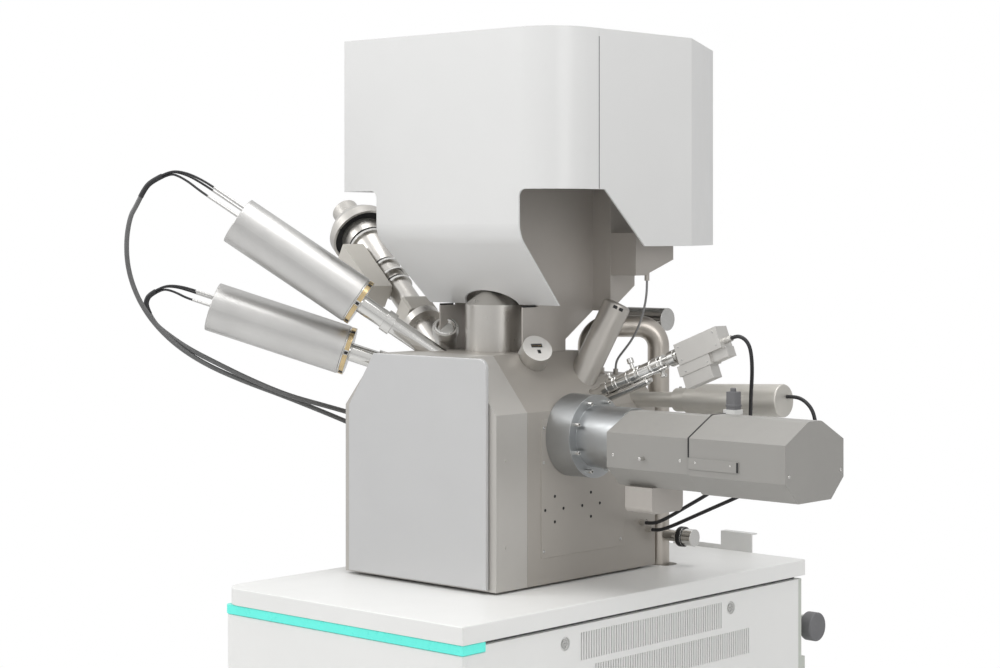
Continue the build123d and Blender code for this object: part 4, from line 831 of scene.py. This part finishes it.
rear_cable_route = [
    (0.6122, 0.2380, 0.4022), (0.6282, 0.2380, 0.4029), (0.6460, 0.2380, 0.4008),
    (0.6630, 0.2380, 0.3918), (0.6770, 0.2380, 0.3766), (0.6840, 0.2380, 0.3540),
    (0.6820, 0.2380, 0.3300), (0.6690, 0.2390, 0.3040), (0.6460, 0.2400, 0.2780),
    (0.6140, 0.2410, 0.2530), (0.5750, 0.2420, 0.2290), (0.5310, 0.2430, 0.2050),
    (0.4840, 0.2430, 0.1810), (0.4340, 0.2430, 0.1590), (0.3840, 0.2440, 0.1370),
    (0.3380, 0.2470, 0.1170), (0.3000, 0.2510, 0.1010), (0.2700, 0.2550, 0.0900),
    (0.2500, 0.2578, 0.0860), (0.2380, 0.2578, 0.0860),
]
hose_route = [
    (0.2400, 0.2360, 0.6400), (0.2400, 0.2360, 0.6200), (0.2370, 0.2350, 0.5940),
    (0.2300, 0.2330, 0.5630), (0.2180, 0.2310, 0.5330), (0.2020, 0.2290, 0.5070),
    (0.1840, 0.2270, 0.4860), (0.1680, 0.2260, 0.4690), (0.1600, 0.2250, 0.4550),
    (0.1596, 0.2250, 0.4420),
]


def free_cord(name, route, diameter, material, node):
    """Cord from a route, which rides on the frame and stands for its node."""
    made = curve_of(name, route, diameter, material)
    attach(made, "root")
    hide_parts(node)
    length_of(curve_points(made))
    return made


for number, route in enumerate(sleeve_routes, 1):
    sleeve = curve_of(f"cable_sleeve_{number}", route, SLEEVE, black_cable)
    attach(sleeve, "root")
    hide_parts("cable_sleeves")
for number, route in enumerate(lead_routes, 1):
    free_cord(f"injector_lead_{number}", route, LEAD, black_cable, "injector_leads")
for number, route in enumerate(injector_cable_routes, 1):
    free_cord(f"injector_cable_{number}", route, INJECTOR_CABLE, grey_cable, "injector_cables")
free_cord("rear_detector_cable", rear_cable_route, DETECTOR_CABLE, black_cable, "rear_cable")
free_cord("gas_hose", hose_route, HOSE, hose_plastic, "thin_hose")


def tube_mesh(name, curve):
    """The curve's tube as a mesh object with a new name."""
    bpy.context.view_layer.update()
    data = bpy.data.meshes.new_from_object(curve.evaluated_get(bpy.context.evaluated_depsgraph_get()))
    made = bpy.data.objects.new(name, data)
    scene.collection.objects.link(made)
    bpy.data.objects.remove(curve)
    return made


# The detector's cable bends between the sliding head and the chamber
cable_curve = curve_of("cable_curve", detector_cable_route, DETECTOR_CABLE, black_cable)
cable_line = curve_points(cable_curve)
detector_cable = tube_mesh("detector_head_cable", cable_curve)
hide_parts("detector_cable")
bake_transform(detector_cable)


# Camera at the photograph's place, level and with its shift
camera_data = bpy.data.cameras.new("camera")
camera = bpy.data.objects.new("camera", camera_data)
scene.collection.objects.link(camera)
camera_data.sensor_width = 36.0
camera_data.lens = 77.07
camera_data.shift_y = -0.103
camera_data.clip_end = 200
camera.location = at(3193.4, -3489.9, 750.0)
camera.rotation_euler = (radians(90), 0, radians(42.33))
scene.camera = camera


# Light and surroundings
def area_light(name, place, target, size, power):
    data = bpy.data.lights.new(name, "AREA")
    data.shape = "DISK"
    data.size = size
    data.energy = power
    lamp = bpy.data.objects.new(name, data)
    scene.collection.objects.link(lamp)
    lamp.location = place
    lamp.rotation_euler = (Vector(target) - Vector(place)).to_track_quat("-Z", "Y").to_euler()


area_light("key", (-2.6, -3.4, 3.6), (0, 0, 1.1), 2.4, 50)
area_light("side", (3.6, -1.2, 2.4), (0, 0, 1.5), 2.0, 24)
area_light("top", (0.6, -0.2, 4.2), (0, 0, 1.0), 2.6, 55)

world = bpy.data.worlds.new("studio")
scene.world = world
world.use_nodes = True
sky = world.node_tree
sky_colour = sky.nodes["Background"]
sky_colour.inputs["Color"].default_value = (1, 1, 1, 1)
heading = sky.nodes.new("ShaderNodeTexCoord").outputs["Generated"]
toward_key = sky.nodes.new("ShaderNodeVectorMath")
toward_key.operation = "DOT_PRODUCT"
toward_key.inputs[1].default_value = Vector((-0.42, -0.58, 0.70)).normalized()
sky.links.new(heading, toward_key.inputs[0])
level = ramp(sky, toward_key.outputs["Value"], -1.0, 1.0, 0.20, 0.84)
seen = sky.nodes.new("ShaderNodeLightPath")
through = sky.nodes.new("ShaderNodeMath")
through.operation = "MAXIMUM"
sky.links.new(seen.outputs["Is Camera Ray"], through.inputs[0])
sky.links.new(seen.outputs["Is Transmission Ray"], through.inputs[1])
shine = sky.nodes.new("ShaderNodeMath")
shine.operation = "MULTIPLY_ADD"
shine.inputs[1].default_value = 0.22
sky.links.new(seen.outputs["Is Glossy Ray"], shine.inputs[0])
sky.links.new(level, shine.inputs[2])
chosen = sky.nodes.new("ShaderNodeMix")
sky.links.new(through.outputs["Value"], chosen.inputs["Factor"])
sky.links.new(shine.outputs["Value"], chosen.inputs["A"])
chosen.inputs["B"].default_value = 1.0
sky.links.new(chosen.outputs["Result"], sky_colour.inputs["Strength"])

floor_size = 40.0
floor_data = bpy.data.meshes.new("floor")
corner = floor_size / 2
corners = [(-corner, -corner, 0), (corner, -corner, 0), (corner, corner, 0), (-corner, corner, 0)]
floor_data.from_pydata(corners, [], [(0, 1, 2, 3)])
floor = bpy.data.objects.new("floor", floor_data)
scene.collection.objects.link(floor)
floor_material = bpy.data.materials.new("floor")
floor_material.use_nodes = True
ground = floor_material.node_tree
floor_shader = ground.nodes["Principled BSDF"]
floor_shader.inputs["Base Color"].default_value = srgb(240, 240, 240)
floor_shader.inputs["Roughness"].default_value = 0.7
distance = ground.nodes.new("ShaderNodeVectorMath")
distance.operation = "LENGTH"
ground.links.new(ground.nodes.new("ShaderNodeTexCoord").outputs["Object"], distance.inputs[0])
fade = ramp(ground, distance.outputs["Value"], 1.5, 2.6, 0.0, 1.0)
white_floor = node_of(ground, "ShaderNodeEmission", Color=(1, 1, 1, 1), Strength=1.0)
path_kind = ground.nodes.new("ShaderNodeLightPath")
faded = ground.nodes.new("ShaderNodeMath")
faded.operation = "MULTIPLY"
ground.links.new(fade, faded.inputs[0])
ground.links.new(path_kind.outputs["Is Camera Ray"], faded.inputs[1])
mixed = ground.nodes.new("ShaderNodeMixShader")
ground.links.new(faded.outputs["Value"], mixed.inputs["Fac"])
ground.links.new(floor_shader.outputs["BSDF"], mixed.inputs[1])
ground.links.new(white_floor.outputs["Emission"], mixed.inputs[2])
ground.links.new(mixed.outputs["Shader"], ground.nodes["Material Output"].inputs["Surface"])
floor_data.materials.append(floor_material)

scene.view_settings.view_transform = "Standard"
